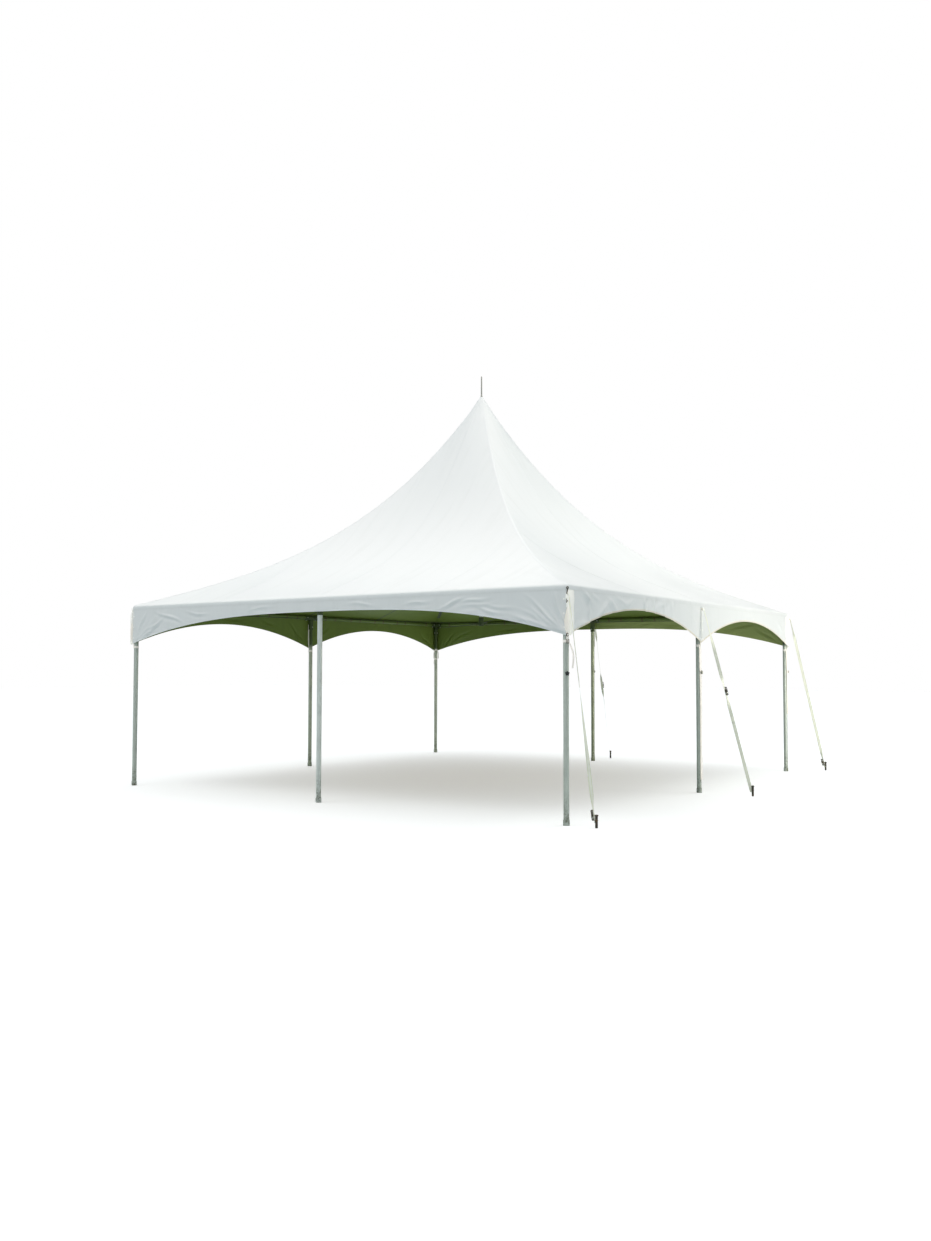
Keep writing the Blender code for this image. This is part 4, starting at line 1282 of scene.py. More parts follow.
ropes = run_tree("wire_ropes", rope_tree(), line_mesh([rope_ends(post) for post in CORNERS]),
                 {"Twist length": 0.085, "Points a turn": 6, "Strands": 5, "Strand radius": 0.0019,
                  "Lay radius": 0.0028, "Wire": WIRE_PAINTED_SHADE})
settled("wire_ropes", ropes, 80, ["cable_" + post for post in CORNERS])

sleeves = Workpiece()
for post in CORNERS:
    ends = rope_ends(post)
    for end, other in (ends, ends[::-1]):
        place = axes(end, UP, other - end)
        sleeves.turned([(0.0058, 0.0), (0.0072, 0.0012), (0.0072, 0.030), (0.0084, 0.033),
                        (0.0084, 0.046), (0.0070, 0.050), (0.0068, 0.098), (0.0056, 0.104)], place, 16)
        for start in (0.060, 0.078):
            sleeves.turned([(0.0066, start), (0.0078, start + 0.001), (0.0078, start + 0.009),
                            (0.0066, start + 0.010)], place, 6)
sleeves.piece("rope_sleeves", "cable", CAST_PAINTED_LIGHT_AND_SHADE)

# %% [markdown]
# ## Guys: woven straps
#
# A guy is one length of webbing, 34 mm wide, from the fitting's ear to a stake. Its upper end
# is sewn into a loop on a small steel ring, and the lower part is doubled by the tail that
# comes out of the ratchet. Webbing under load lies flat, so each strap is modelled directly as
# a thin ribbon, with small waves in the slack tail only.

# %% The line of each guy
STRAP_WIDTH, STRAP_THICKNESS, STRAP_FOOT_Z = 0.034, 0.003, 0.045
STAKE_RADIUS, STAKE_HEIGHT, STAKE_HEAD_RADIUS = 0.0125, 0.12, 0.018
CORNER_EAR_REACH, MIDDLE_EAR_REACH, EAR_THICKNESS = 0.088, 0.072, 0.006
PART_GAP = 0.0003
# Bearing and distance of the stake, height of the ratchet, and the strap's face it lies on
GUYS = {"front_right": (0, 0.31, 0.115, -1), "right_middle": (0, 0.64, 1.165, 1),
        "back_right": (45, 0.60, 0.115, -1), "back_middle": (90, 0.58, 1.165, 1)}
# Twist of the lower and the upper part of each strap in degrees, and the shares of its length
# between which the twist changes
STRAP_TWIST = {"front_right": (60, -26, 0.22, 0.62), "right_middle": (67, -20, 0.76, 0.90),
               "back_right": (-64, -64, 0, 1), "back_middle": (60, 60, 0, 1)}
# Distances from the upper end between which the strap is gathered, and how far
GATHER = (0.03, 0.20), (0.5, 1.0)
WEBBING_THICKNESS, TAIL_THICKNESS, TAIL_WIDTH = 0.0022, 0.0018, 0.97 * STRAP_WIDTH
SEWN_LENGTH, SEWN_END, TAIL_START, TAIL_END = 0.15, 0.004, 0.045, 0.34
RIPPLE_DEPTH, SLACK_TAIL_DEPTH = 0.0003, 0.012


def stake_point(post):
    """Where a guy's stake stands on the ground."""
    bearing, reach = GUYS[post][:2]
    return post_point(post) + level((1, 0, 0), math.radians(bearing)) * reach


def guy_frame(post):
    """Lower end, upper end and a frame along the strap: X across it, Y off its upper face."""
    away = outward(post)
    tip = post_point(post) + away * (CORNER_EAR_REACH if post in CORNERS else MIDDLE_EAR_REACH)
    heading = (stake_point(post) - tip).normalized()
    clear = PART_GAP + STRAP_THICKNESS / 2
    top = tip + heading * (clear + abs(heading.cross(away).z) * EAR_THICKNESS / 2) + UP * LUG_Z
    bottom = stake_point(post) - heading * (STAKE_RADIUS + clear) + UP * STRAP_FOOT_Z
    along = (top - bottom).normalized()
    across = UP.cross(along).normalized()
    off = along.cross(across)
    if off.z < 0:
        across, off = -across, -off
    return bottom, top, Matrix((across, off, along)).transposed()


def ratchet_share(post):
    """Share of a strap's length at which its ratchet lies."""
    bottom, top, _ = guy_frame(post)
    return (GUYS[post][2] - bottom.z) / (top.z - bottom.z)


def ribbon(path, off, across, width, thickness, spread=5):
    """A part of a shell: flat webbing along a path, with its face direction at each point."""
    path, off = np.array([tuple(p) for p in path]), np.array([tuple(o) for o in off])
    across = np.broadcast_to(np.array(across), path.shape)
    shares = np.linspace(-0.5, 0.5, spread)
    places = shares[None, :] * np.broadcast_to(width, len(path))[:, None]
    # The woven edges are a little thinner than the middle
    thick = thickness * np.where(np.abs(shares) > 0.49, 0.55, 1.0) / 2
    lines = path[:, None, :] + across[:, None, :] * places[:, :, None]
    lift = off[:, None, :] * thick[None, :, None]
    length = np.concatenate([[0], np.cumsum(np.linalg.norm(np.diff(path, axis=0), axis=1))])
    return lines + lift, lines - lift, np.dstack(np.broadcast_arrays(places, length[:, None]))


# %% Straps with their sewn ends
def along_strap(post, shares, lifts):
    """Places on a strap at shares of its length, lifted off its face, and how it lies there."""
    bottom, top, face = guy_frame(post)
    length = (top - bottom).length
    # It lies square to its ratchet and to its ends, and is twisted between them
    free = np.clip((np.abs(shares - ratchet_share(post)) * length - 0.07) / 0.14, 0, 1)
    free = free * np.clip(((1 - shares) * length - 0.15) / 0.16, 0, 1)
    low, high, start, end = STRAP_TWIST[post]
    twist = np.radians(np.interp(shares, (start, end), (low, high)))
    turns = twist * free * free * (3 - 2 * free)
    across, off = np.array(face.col[0]), np.array(face.col[1])
    cosine, sine = np.cos(turns)[:, None], np.sin(turns)[:, None]
    offs = off * cosine + across * sine
    line = np.array([tuple(bottom.lerp(top, share)) for share in shares])
    return line + offs * lifts[:, None], offs, across * cosine - off * sine


def guy_strap(post):
    """The strap of one guy, its sewn upper end and its doubled tail."""
    bottom, top, _ = guy_frame(post)
    side, length, at = GUYS[post][3], (top - bottom).length, ratchet_share(post)
    shares = np.linspace(0, 1, 90)
    # The upper end is gathered to half its width, to go through the ring
    gathered = STRAP_WIDTH * np.interp((1 - shares) * length, *GATHER)
    ripple = RIPPLE_DEPTH * sin(shares * length * 26)
    parts = [ribbon(*along_strap(post, shares, ripple), gathered, WEBBING_THICKNESS)]
    # The upper end: turned back on itself and sewn
    shares = np.linspace(1 - SEWN_LENGTH / length, 1 - SEWN_END / length, 14)
    lifts = side * (0.0023 + 0.0006 * exp(-((shares - shares[-1]) * length / 0.02) ** 2))
    gathered = TAIL_WIDTH * np.interp((1 - shares) * length, *GATHER)
    parts.append(ribbon(*along_strap(post, shares, lifts), gathered, TAIL_THICKNESS))
    # The slack tail beside the strap, below a high ratchet or above a low one
    shares = at + (-1 if at > 0.4 else 1) * np.linspace(TAIL_START, TAIL_END, 22) / length
    slack = np.linspace(0, 1, 22)
    lifts = side * (0.0026 + SLACK_TAIL_DEPTH * (slack ** 1.5 * sin(slack * 7.5) ** 2 + slack / 2))
    parts.append(ribbon(*along_strap(post, shares, lifts), TAIL_WIDTH, TAIL_THICKNESS))
    return shell_piece("guy_webbing_" + post, parts, GUY_WEBBING, None, ["guy_strap_" + post])


for post in GUYS:
    guy_strap(post)

# %% Rings at the upper ends and stakes at the lower ends
hardware, stakes = Workpiece(), Workpiece()
for post in GUYS:
    _, top, face = guy_frame(post)
    place = axes(top - face.col[2] * 0.010, face.col[0], face.col[1])
    triangle = arc(0.007, -90, -200, 4, (-0.015, 0.0)) + arc(0.006, 160, 20, 5, (0.0, 0.024))
    triangle += arc(0.007, 20, -90, 4, (0.015, 0.0))
    hardware.bent([(x, -y, 0) for x, y in triangle], 0.0026, place, 0, True)
    ground = Matrix.Translation(stake_point(post))
    stakes.turned([(0.0105, 0.0), (0.0122, 0.002), (STAKE_RADIUS, 0.010), (STAKE_RADIUS, 0.098),
                   (0.0130, 0.104), (0.0165, 0.1075), (STAKE_HEAD_RADIUS, 0.110),
                   (STAKE_HEAD_RADIUS, 0.1135), (0.0165, 0.1165), (0.0130, 0.1187), (0.0070, 0.1199),
                   (0.0020, STAKE_HEIGHT)], ground, 28)
    # A steel collar that keeps the webbing from riding up the stake
    stakes.turned([(0.0129, 0.066), (0.0152, 0.0670), (0.0152, 0.0715), (0.0129, 0.0725)], ground, 28)
hardware.piece("guy_rings", "fitting", PALE_PAINT_AND_GLOW)
stakes.piece("stake_heads", "stake", FORGED, stands_for=["stake_" + post for post in GUYS])

# %% [markdown]
# ## Ratchets
#
# A ratchet has two side plates, a spindle on which the strap winds, a toothed wheel at each end
# of it, and a handle folded down over the body. Someone who knows tents looks for exactly
# these parts, so each is made: plates with rounded ends, wheels with twelve sloping teeth, a
# wound coil of webbing, a bent handle bar with a sleeve, and pins with heads.

# %% One ratchet for each guy
RATCHET_WIDTH, RATCHET_DEPTH, RATCHET_LENGTH = 0.044, 0.022, 0.10
TEETH, TOOTH = 12, ((0.0, 0.0080), (0.66, 0.0104), (0.792, 0.0104), (0.88, 0.0080))
SPINDLE_AT, GRIP_OFF, GRIP_RIBS = -0.020, 0.0045, 9


def toothed_wheel():
    """Outline of a ratchet wheel with sloping teeth."""
    outline = []
    for tooth in range(TEETH):
        for turn, radius in TOOTH:
            angle = (tooth + turn) * math.tau / TEETH
            outline.append((radius * math.cos(angle), radius * math.sin(angle)))
    return outline


def ratchet(work, place):
    """A ratchet in its own frame: X across the strap, Y off it, Z along it."""
    length, half = RATCHET_LENGTH, RATCHET_WIDTH / 2

    def lying(across, off, along):
        """A frame with its Z across the strap."""
        return place @ Matrix.Translation((across, off, along)) @ Matrix.Rotation(math.pi / 2, 4, "Y")

    body = (arc(0.0095, 90, 270, 8, (-length / 2 + 0.0105, 0.0))
            + arc(0.0085, -90, 90, 8, (length / 2 - 0.036, -0.001)))
    arm = (arc(0.0055, 90, 270, 6, (-0.020, 0.0035))
           + arc(0.0050, -90, 90, 6, (length / 2 - 0.0065, GRIP_OFF)))
    for side in (-1, 1):
        work.plate([(-x, y) for x, y in body], 0.0020, lying(side * (half - 0.0050), 0, 0))
        work.plate([(-x, y) for x, y in arm], 0.0018, lying(side * (half - 0.0012), 0, 0))
        work.plate(toothed_wheel(), 0.0016, lying(side * (half - 0.0031), 0, SPINDLE_AT), 1, 0.0002)
    for along, off, radius, reach in ((SPINDLE_AT, 0.0, 0.0046, half),
                                      (-length / 2 + 0.010, 0.0, 0.0040, half - 0.0035),
                                      (0.012, -0.001, 0.0032, half - 0.0035)):
        work.turned([(radius * 0.55, -reach), (radius, -reach + radius * 0.3),
                     (radius, reach - radius * 0.3), (radius * 0.55, reach)], lying(0, off, along), 14, 1)
    # The handle's grip: a bar with a ribbed sleeve
    profile = [(0.0036, -half + 0.002)]
    for rib in range(GRIP_RIBS):
        start = -half + 0.0045 + rib * (2 * half - 0.009) / GRIP_RIBS
        profile += [(0.0048, start), (0.0056, start + 0.0010), (0.0056, start + 0.0024),
                    (0.0048, start + 0.0034)]
    work.turned(profile + [(0.0036, half - 0.002)], lying(0, GRIP_OFF, length / 2 - 0.0065), 14)
    # The pawl between the plates, which locks the wheels
    work.plate([(-0.007, -0.002), (0.009, -0.002), (0.009, 0.001), (-0.004, 0.0025)],
               2 * half - 0.013, lying(0, GRIP_OFF, -0.005))
    # Webbing wound on the spindle
    work.turned([(0.0050, -0.0155), (0.0082, -0.0150), (0.0088, -0.0145), (0.0088, 0.0145),
                 (0.0082, 0.0150), (0.0050, 0.0155)], lying(0, 0, SPINDLE_AT), 22, 2)


RATCHET_LIFT = STRAP_THICKNESS / 2 + PART_GAP + RATCHET_DEPTH / 2
for post, (_, _, _, side) in GUYS.items():
    bottom, top, face = guy_frame(post)
    off = face.col[1] * side
    place = Matrix((face.col[0] * side, off, face.col[2])).transposed().to_4x4()
    place.translation = bottom.lerp(top, ratchet_share(post)) + off * RATCHET_LIFT
    work = Workpiece()
    ratchet(work, place)
    work.piece("ratchet_works_" + post, "ratchet", DARK_STEEL, BRIGHT_STEEL, GUY_WEBBING,
               stands_for=["ratchet_" + post])

# %% [markdown]
# ## Ties at the legs
#
# The low points of the valances are strapped down to the legs, or the wind would lift them.
# Each tie is a band of webbing that goes once round the leg and overlaps itself, a buckle, and
# a tab up to the cloth. At the corners the webbing is longer: a lens-shaped loop hangs in
# front of the slot between the two valances, and its loose end hangs from the buckle. These
# straps are narrow and flat, so they are modelled directly.

# %% Bands and tabs
TUBE_RADIUS = 0.0265
BAND_WIDTH = 0.025
BAND_REACH, OVERLAP_STEP = 0.0278, 0.0020
BUCKLE_REACH, BUCKLE_TURN = 0.0318, 0.25
TIE_HEIGHT = {"front_right": 1.675, "back_left": 1.590, "front_left": 1.690, "back_right": 1.680,
              "right_middle": 1.690, "left_middle": 1.685}
LONG_TIES = ("front_right", "back_left")


def band(post, height, width):
    """Webbing that goes round a leg and overlaps itself."""
    turns = np.linspace(-0.5, math.tau + 0.3, 44)
    offs = [outward(post, turn) for turn in turns]
    radii = BAND_REACH + OVERLAP_STEP * np.clip((turns - math.tau + 0.9) / 0.5, 0, 1)
    path = [post_point(post, height) + off * radius for off, radius in zip(offs, radii)]
    return ribbon(path, offs, UP, width, 0.0015, 3)


def hanging(points, off, across, width):
    """A flat strap through places, with one width or a width for each."""
    rows = np.linspace(0, len(points) - 1, 8 * (len(points) - 1) + 1)
    lines = [np.interp(rows, range(len(points)), [point[axis] for point in points]) for axis in range(3)]
    # A running mean rounds the bends
    kernel = np.array([1, 2, 3, 2, 1]) / 9
    path = np.stack([np.convolve(np.pad(line, 2, "edge"), kernel, "valid") for line in lines], axis=1)
    widths = np.interp(rows, range(len(points)), width) if np.ndim(width) else width
    return ribbon(path, np.broadcast_to(off, path.shape), across, widths, 0.0016)


parts, buckles = [], Workpiece()
for post, height in TIE_HEIGHT.items():
    away, side = outward(post), outward(post, math.pi / 2)
    parts.append(band(post, height, BAND_WIDTH))
    if post not in LONG_TIES:
        out = 0.0365 if post in CORNERS else 0.0345
        tab = ((1.775, out), (1.735, out - 0.0005), (1.722, out - 0.003), (1.70, 0.0315), (1.672, 0.0310))
        parts.append(hanging([post_point(post, z) + away * reach for z, reach in tab], away, side, 0.022))
    # The buckle: a frame bent from wire, with a bar that the webbing passes under
    facing = outward(post, BUCKLE_TURN)
    seat = axes(post_point(post, height) + facing * BUCKLE_REACH, UP, facing)
    corners = []
    for start, x, y in ((0, 1, 1), (90, -1, 1), (180, -1, -1), (270, 1, -1)):
        corners += arc(0.004, start, start + 90, 4, (0.0145 * x, 0.010 * y))
    mark = 0 if post == "front_right" else 1
    buckles.bent(raised(corners), 0.0026, seat, mark, True)
    buckles.bent([(-0.018, 0, 0.001), (0, 0, 0.0018), (0.018, 0, 0.001)], 0.0022, seat, mark)
# At the back left leg a long loop of webbing goes up over the leg's inner face
inner, side = -outward("back_left"), outward("back_left", math.pi / 2)
turns = np.linspace(-0.35, math.pi + 0.35, 25)
rise = np.where(sin(turns) > 0, np.abs(sin(turns)) ** 0.45, 0.0)
path = [post_point("back_left", 1.600 + 0.145 * up) + inner * 0.0300 + side * 0.037 * math.cos(turn)
        for turn, up in zip(turns, rise)]
along = np.gradient(np.array([tuple(point) for point in path]), axis=0)
along /= np.linalg.norm(along, axis=1, keepdims=True)
parts.append(ribbon(path, [inner] * len(path), np.cross(along, tuple(inner)), 0.016, 0.0016))
leg_ties = shell_piece("leg_ties", parts, CREAM_WEBBING)
buckles.piece("tie_buckles", "ratchet", DARK_STEEL, PALE_PAINT_AND_GLOW)

# %% [markdown]
# ## The laced corner
#
# At a corner the two valances are held together by a short chain: a dark hook under the eave, a
# long pale toggle, a second dark hook, and a small pale toggle that carries the webbing loop,
# with a ring at the loop's lower end. At the front right corner all of it can be seen from the
# ground, so it has its real order and lengths. The other corners have it in pale paint.

# %% Hooks, links and loops at the corners
CORNER_OUT = 0.0560
LOOP_TOP_Z, LOOP_END_Z = 1.984, 1.700
LOOP_REACH = CORNER_OUT + np.array([0, 0.003, 0.006, 0.008, 0.008, 0.006, 0.000, -0.010, -0.022])
LOOP_WIDTHS = np.array([0.012, 0.030, 0.046, 0.054, 0.052, 0.044, 0.032, 0.024, 0.020])


def oval(length, width, steps=10):
    """A closed link in X and Y, long in X."""
    reach = (length - width) / 2
    return arc(width / 2, -90, 90, steps, (reach, 0.0)) + arc(width / 2, 90, 270, steps, (-reach, 0.0))


def hook_path(reach):
    """A snap hook: an open eye at each end of a straight shank."""
    return raised(arc(0.0100, 200, -90, 12, (reach, 0.0)) + arc(0.0100, 90, 380, 12, (-reach, 0.0)))


def along_leg(post, turn, levels, reach, swing):
    """Places at levels on a leg, so far off its axis in one direction, and aside of it."""
    away, side = outward(post, turn), outward(post, turn + math.pi / 2)
    return [post_point(post, z) + away * r + side * s for z, r, s in zip(levels, reach, swing)]


def hung(post, height, turn):
    """A frame on the chain of a corner, long in Z, turned by some degrees."""
    place = post_point(post, height) + outward(post) * CORNER_OUT
    return axes(place, UP, outward(post, math.radians(turn)))


hooks, parts = Workpiece(), []
for post in CORNERS:
    dark, long = 0 if post == "front_right" else 1, post in LONG_TIES
    hooks.bent(hook_path(0.0240), 0.0040, hung(post, 2.138, 20), dark)
    hooks.plate(oval(0.080, 0.032), 0.012, hung(post, 2.084, -12), 1, 0.003)
    hooks.bent(hook_path(0.0110), 0.0036, hung(post, 2.044, 14), dark)
    hooks.plate(oval(0.054, 0.021), 0.010, hung(post, 2.008, -12), 1, 0.003)
    hooks.bent(raised(oval(0.026, 0.020)), 0.0040, hung(post, 1.733, -12), dark, True)
    levels = np.linspace(LOOP_TOP_Z, TIE_HEIGHT[post] + 0.012 if long else LOOP_END_Z, 9)
    swing = 0.004 * sin(np.arange(9) * 0.9 + CORNERS.index(post))
    line = along_leg(post, 0, levels, LOOP_REACH, swing)
    widths = LOOP_WIDTHS if long else LOOP_WIDTHS * 0.6
    parts.append(hanging(line, outward(post), outward(post, math.pi / 2), widths))
hooks.piece("corner_hooks", "ratchet", DARK_STEEL, PALE_PAINT_AND_GLOW)
shell_piece("corner_loops", parts, CREAM_WEBBING)

# %% Loose ends
LEANING_TURN = -0.5
# The leg, the upper end's height, the length, the width, the bearing, the bends and the lean
LOOSE_ENDS = {"loose_end_front_right": ("front_right", 1.660, 0.235, 0.024, 1.10, 0.004, 0.036),
              "loose_end_back_left": ("back_left", 1.580, 0.120, 0.022, 0.35, 0.006),
              "loose_end_right_middle": ("right_middle", 1.700, 1.560, 0.034, -0.30, 0.004),
              "loose_end_back_right": ("back_right", 1.690, 0.900, 0.034, -0.95, 0.004)}


def loose_end(post, start, length, width, turn, bend, lean=0.0):
    """A strap's free end, which hangs beside its leg with a few soft bends, or stands off it."""
    shares = np.linspace(0, 1, 9)
    reach = BUCKLE_REACH + bend * sin(shares * 4.2) ** 2 + 0.5 * bend * shares + lean * sin(shares * 2.4)
    line = along_leg(post, turn, start - length * shares, reach, bend * 1.6 * sin(shares * 3.3 + turn))
    facing = turn + (LEANING_TURN if lean else 0.0)
    return hanging(line, outward(post, facing), outward(post, facing + math.pi / 2), width)


loose_ends = {name: shell_piece(name, [loose_end(*values)], CREAM_WEBBING)
              for name, values in LOOSE_ENDS.items()}

# %% [markdown]
# ## Star grips
#
# A guyed leg has a clamp knob at chest height. People turn it by hand, so it is a plastic star
# with five rounded lobes and a hollow in its face. The one at the front right leg is nearly
# black. The others have faded.

# %% Star grips
GRIP = grained("grip_plastic", (0.028, 0.030, 0.029), (0.050, 0.052, 0.050), 0.55, 0.0, 320.0)
FADED_GRIP = grained("faded_grip", (0.38, 0.36, 0.29), (0.46, 0.44, 0.37), 0.65, 0.0, 320.0)
KNOB_Z = 1.38
GRIP_START, GRIP_END = TUBE_RADIUS + 0.002, TUBE_RADIUS + 0.0245
# Size and distance from the leg's axis of each layer
GRIP_LAYERS = [(0.60, GRIP_START), (0.62, GRIP_START + 0.005), (0.93, GRIP_START + 0.0075),
               (1.0, GRIP_START + 0.0095), (1.0, GRIP_END - 0.0025), (0.95, GRIP_END - 0.0006),
               (0.86, GRIP_END), (0.50, GRIP_END - 0.0005), (0.44, GRIP_END - 0.0002)]
LOBES, LOBE_POINTS, LOBE_MIDDLE, LOBE_SWELL = 5, 60, 0.0192, 0.0030


def lobes(size):
    """Outline of a grip with rounded lobes."""
    turns = [math.tau * step / LOBE_POINTS for step in range(LOBE_POINTS)]
    reach = [size * (LOBE_MIDDLE + LOBE_SWELL * math.cos(LOBES * turn)) for turn in turns]
    return [(r * math.cos(turn), r * math.sin(turn)) for r, turn in zip(reach, turns)]


grips = Workpiece()
for post in GUYS:
    seat = axes(post_point(post, KNOB_Z), UP, outward(post))
    layers = [raised(lobes(size), reach) for size, reach in GRIP_LAYERS]
    grips.skin(layers, seat, 0 if post == "front_right" else 1)
grips.piece("star_grips", "fitting", GRIP, FADED_GRIP, angle=40)

# %% [markdown]
# ## Bolts, eyelets and beam ties
#
# A bolt holds every tube in its fitting, eyelets edge the slots of the valances, and short
# brown ties hold the cloth to the beams. There are dozens of each, all alike, so one small tree
# puts a shape on points and turns it along a stored direction. Only the shape differs.

# %% A tree that puts a shape on points
def bolt_shape(tree, size):
    """A hexagon head with a low crown on a washer."""
    join = tree.nodes.new("GeometryNodeJoinGeometry")
    cylinder = "GeometryNodeMeshCylinder"
    # Kind and sides of each part, its radii, its depth and its middle's height
    for kind, sides, radii, depth, height in (
            (cylinder, 6, {"Radius": 0.5}, 0.42, 0.32),
            ("GeometryNodeMeshCone", 18, {"Radius Top": 0.30, "Radius Bottom": 0.42}, 0.07, 0.531),
            (cylinder, 20, {"Radius": 0.72}, 0.11, 0.056)):
        sizes = {key: size * share for key, share in {**radii, "Depth": depth}.items()}
        shape = node(tree, kind, {"Vertices": sides, **sizes}, "Mesh")
        offset = node(tree, "ShaderNodeCombineXYZ", {2: size * height})
        lifted = node(tree, "GeometryNodeTransform", {"Geometry": shape, "Translation": offset})
        tree.links.new(lifted.socket, join.inputs[0])
    return Field(tree, join.outputs[0])


def carried_round(tree, steps, radius, section):
    """A section carried round a circle."""
    ring = node(tree, "GeometryNodeCurvePrimitiveCircle", {"Resolution": steps, "Radius": radius})
    return node(tree, "GeometryNodeCurveToMesh", {"Curve": ring, "Profile Curve": section})


def eyelet_shape(tree, size):
    """A rolled metal ring."""
    section = node(tree, "GeometryNodeCurvePrimitiveCircle", {"Resolution": 8, "Radius": size * 0.26})
    return carried_round(tree, 20, size, section)


def tie_shape(tree, size):
    """A flat loop of tape round a beam."""
    section = node(tree, "GeometryNodeCurvePrimitiveQuadrilateral",
                   {"Width": 0.0018, "Height": size * 0.62})
    return carried_round(tree, 28, size, section)


def placing_tree(name, shape):
    """A shape on every point, turned along the point's stored direction."""
    tree, given = new_tree(name, {"Size": float, "Finish": MATERIAL})
    way = node(tree, "GeometryNodeInputNamedAttribute", {"Name": "way"}, data_type="FLOAT_VECTOR")
    turned = node(tree, "FunctionNodeAlignRotationToVector", {"Vector": way}, axis="Z")
    single = shape(tree, given["Size"])
    shapes = node(tree, "GeometryNodeInstanceOnPoints",
                  {"Points": given["Geometry"], "Instance": single, "Rotation": turned})
    return end_tree(tree, shapes, given["Finish"])


def scatter(name, shape, spots, size, material):
    """One piece with a shape on each spot; a spot is a place and a direction."""
    points = bpy.data.meshes.new("points")
    points.from_pydata([tuple(place) for place, _ in spots], [], [])
    ways = np.array([tuple(way) for _, way in spots], np.float32)
    points.attributes.new("way", "FLOAT_VECTOR", "POINT").data.foreach_set("vector", ways.ravel())
    mesh = run_tree(name, placing_tree(name, shape), points, {"Size": size, "Finish": material})
    turn_out(mesh)
    print(len(spots), name)
    return settled(name, mesh, 35)


# %% Where bolts, eyelets and ties go
FITTING_RADIUS, SOCKET_RADIUS, HEAD_SEAT = 0.0335, 0.0325, 0.0004
BOLT_REACH, BOLT_DROP = 0.095, 0.135
TIE_START, TIE_SPACING, TIES_A_BEAM, TIE_APART = 0.30, 0.56, 5, 0.12
EYELET_HEIGHTS, EYELET_TOP = (1.80, 1.93, 2.06), 2.09


def beam_directions(post):
    """The level directions in which beams leave a post."""
    across, along = POSTS[post]
    if across and along:
        return [Vector((-across, 0, 0)), Vector((0, -along, 0))]
    line = Vector((along, across, 0))
    return [line, -line]


def spread_out(spots, distance):
    """The spots that stand clear of all the earlier ones."""
    return [spot for index, spot in enumerate(spots)
            if all((spot[0] - other[0]).length > distance for other in spots[:index])]


bolts, ties, eyelets = [], [], []
for post in POSTS:
    heart = post_point(post, EAVE_AXIS_Z)
    for direction in beam_directions(post):
        # One bolt under each sleeve, two through the socket, square to the beam
        side = UP.cross(direction)
        inward = side if (CENTRE - heart).dot(side) > 0 else -side
        sleeve = heart + direction * BOLT_REACH
        bolts += [(sleeve - UP * (FITTING_RADIUS - HEAD_SEAT), -UP),
                  (sleeve + inward * (FITTING_RADIUS - HEAD_SEAT), inward),
                  (heart + inward * (SOCKET_RADIUS - HEAD_SEAT) - UP * BOLT_DROP, inward)]
        for step in range(TIES_A_BEAM):
            if step < TIES_A_BEAM - 1 or direction.dot(CENTRE - heart) > 0:
                ties.append((heart + direction * (TIE_START + TIE_SPACING * step), direction))
for side in SIDES:
    for bay in bays(side):
        for edge, into in ((bay[0], 1), (bay[1], -1)):
            near_corner = abs(edge) > HALF
            lowest = float(arch_edge(np.array(edge), bay)) + 0.045
            across = edge + into * (0.034 if near_corner else 0.022)
            out = eave_line(across)[1]
            way = placed([*out, 0.0], side) - placed([0.0, 0.0, 0.0], side)
            heights = EYELET_HEIGHTS if near_corner else (lowest, lowest + 0.10, lowest + 0.20)
            eyelets += [(valance_point(across, height, side, -0.0006), way)
                        for height in heights if height < EYELET_TOP]
scatter("frame_bolts", bolt_shape, spread_out(bolts, 0.001), 0.012, BRIGHT_STEEL)
scatter("beam_ties", tie_shape, spread_out(ties, TIE_APART), TUBE_RADIUS + 0.0015, BROWN_TIE)
scatter("eyelets", eyelet_shape, eyelets, 0.0062, PALE_PAINT_AND_GLOW)

# %% [markdown]
# ## What the cloth was cut from
#
# Each valance's flat size is worked out, and its cloth is paired with its binding and hems. The
# roof is cut as four gores, whose flat area is what the curved surface measures, within the
# stretch of vinyl.

# %% Sheets
VALANCE_FLAT = (2 * VALANCE_LINE, VALANCE_DROP + 0.01)
for side, cloth in valances.items():
    trim = [bindings[side], hems[side]] if side in hems else [bindings[side]]

# %% [markdown]
# ## Camera, light and floor
#
# The camera stands where the photographer stood: 1.4 m above the ground, off the front right
# corner, 9.7 m from it, looking slightly up. The light is that of a pale studio. A lamp high
# on the right lights the roof, a low one on the same side lights the right valance, and a
# broad one above the front fills in. The front valance gets only what the pale walls and the
# floor give back, so it stays in a cool half shade.

# %% Camera
LENS_PIXELS, AXIS_COLUMN = 1059.2, 510.0
FRAME_WIDTH, FRAME_HEIGHT = 931, 1241
YAW, PITCH = 0.5772, 0.0455
EYE = Vector((10.9601, -8.4095, 1.4226))


def on_stage(name, data, place=(0, 0, 0), look=None):
    """A camera, lamp or floor in the scene, looking along a direction if one is given."""
    made = bpy.data.objects.new(name, data)
    made.location = place
    if look:
        made.rotation_euler = look.to_track_quat("-Z", "Y").to_euler()
    bpy.context.scene.collection.objects.link(made)
    return made


look = Vector((-math.sin(YAW) * math.cos(PITCH), math.cos(YAW) * math.cos(PITCH), math.sin(PITCH)))
camera = on_stage("camera", bpy.data.cameras.new("camera"), EYE, look)
camera.data.sensor_width = 36.0
camera.data.lens = LENS_PIXELS * camera.data.sensor_width / FRAME_HEIGHT
camera.data.shift_x = (FRAME_WIDTH / 2 - AXIS_COLUMN) / FRAME_HEIGHT
camera.data.clip_end = 300
bpy.context.scene.camera = camera
print("lens", round(camera.data.lens, 2), "mm")


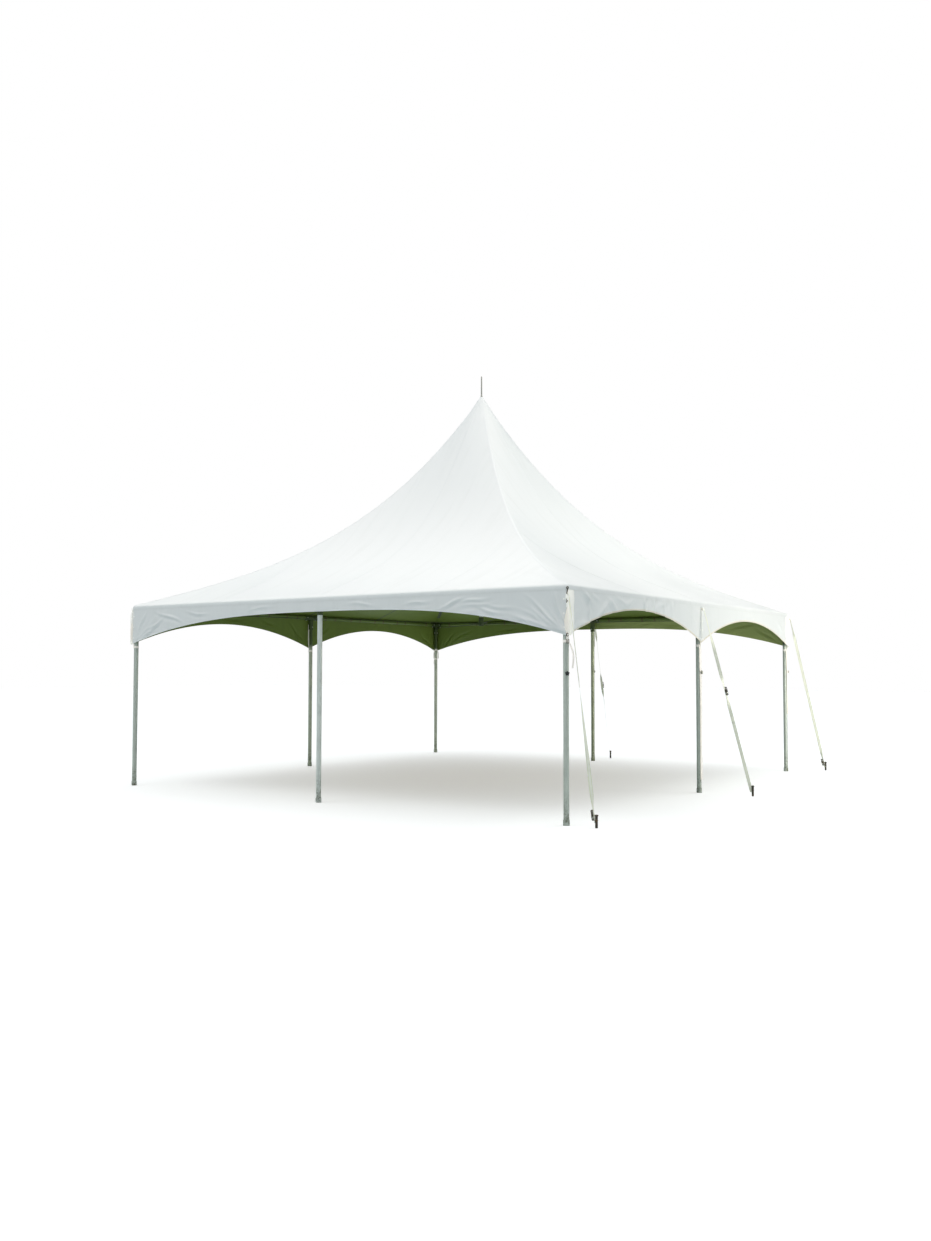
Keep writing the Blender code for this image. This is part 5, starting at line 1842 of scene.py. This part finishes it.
# %% Light
def lamp(name, place, target, size, power, colour):
    """A soft square lamp that faces a target."""
    data = bpy.data.lights.new(name, "AREA")
    data.shape = "SQUARE"
    data.size, data.energy, data.color = size, power, colour
    on_stage(name, data, place, Vector(target) - Vector(place)).visible_camera = False


lamp("top_light", (8.0, 5.0, 9.0), (5.0, 3.3, 2.6), 3.0, 138, (1.0, 0.97, 0.91))
lamp("side_light", (10.0, 4.5, 1.7), (6.1, 6.5, 1.9), 2.0, 100, (1.0, 0.955, 0.86))
lamp("fill_light", (-1.0, -5.0, 14.0), (3.0, 2.0, 3.5), 6.0, 390, (1.0, 0.975, 0.955))

# Strength of the studio's walls and of its ceiling
DOME_LOW, DOME_HIGH = 0.10, 1.60
WALL_TINT, CEILING_TINT = (0.62, 0.94, 1.04), (1.0, 0.975, 0.96)

world = bpy.data.worlds.new("studio")
bpy.context.scene.world = world
world.use_nodes = True
tree = world.node_tree
background = tree.nodes["Background"]
direction = node(tree, "ShaderNodeTexCoord", output="Generated")
height = node(tree, "ShaderNodeSeparateXYZ", {0: direction}, 2)
tint = height.mapped(0.3, 0.8).between(WALL_TINT, CEILING_TINT)
for key, value in (("Strength", height.mapped(0.3, 0.95, DOME_LOW, DOME_HIGH)), ("Color", tint)):
    tree.links.new(value.socket, background.inputs[key])
# The camera sees plain white behind the floor
backdrop = node(tree, "ShaderNodeBackground", {"Color": (1, 1, 1, 1), "Strength": 1.0})
seen = node(tree, "ShaderNodeLightPath", output="Is Camera Ray")
both = node(tree, "ShaderNodeMixShader", {0: seen, 1: Field(tree, background.outputs[0]), 2: backdrop})
tree.links.new(both.socket, tree.nodes["World Output"].inputs["Surface"])
bpy.context.scene.view_settings.view_transform = "Standard"
bpy.context.scene.view_settings.look = "None"

# %% Floor
# The floor is seen nearly white, but gives back less light, as grass under a tent does
FLOOR_GLOW, FLOOR_REACH, FLOOR_Z = 0.49, 60, -0.001
FLOOR_WHITE = finish("floor_white", (0.595, 0.65, 0.67), 0.9, Specular_IOR_Level=0.1,
                     Emission_Color=(1.0, 0.93, 0.91, 1.0))
seen = node(FLOOR_WHITE.node_tree, "ShaderNodeLightPath", output="Is Camera Ray")
plug(FLOOR_WHITE, Emission_Strength=seen * FLOOR_GLOW)
plane = bpy.data.meshes.new("floor")
outline = [(x * FLOOR_REACH, y * FLOOR_REACH) for x, y in ((-1, -1), (1, -1), (1, 1), (-1, 1))]
plane.from_pydata(raised(outline, FLOOR_Z), [], [(0, 1, 2, 3)])
plane.materials.append(FLOOR_WHITE)
on_stage("floor", plane)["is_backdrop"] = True

# %% [markdown]
# ## Closing the lesson
#
# The box round the visual model is worked out and printed. The visual model has to stay
# inside the imported model's box.

# %% Size and finish
low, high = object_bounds()
print("visual box", [round(v, 3) for v in (*low, *high)])
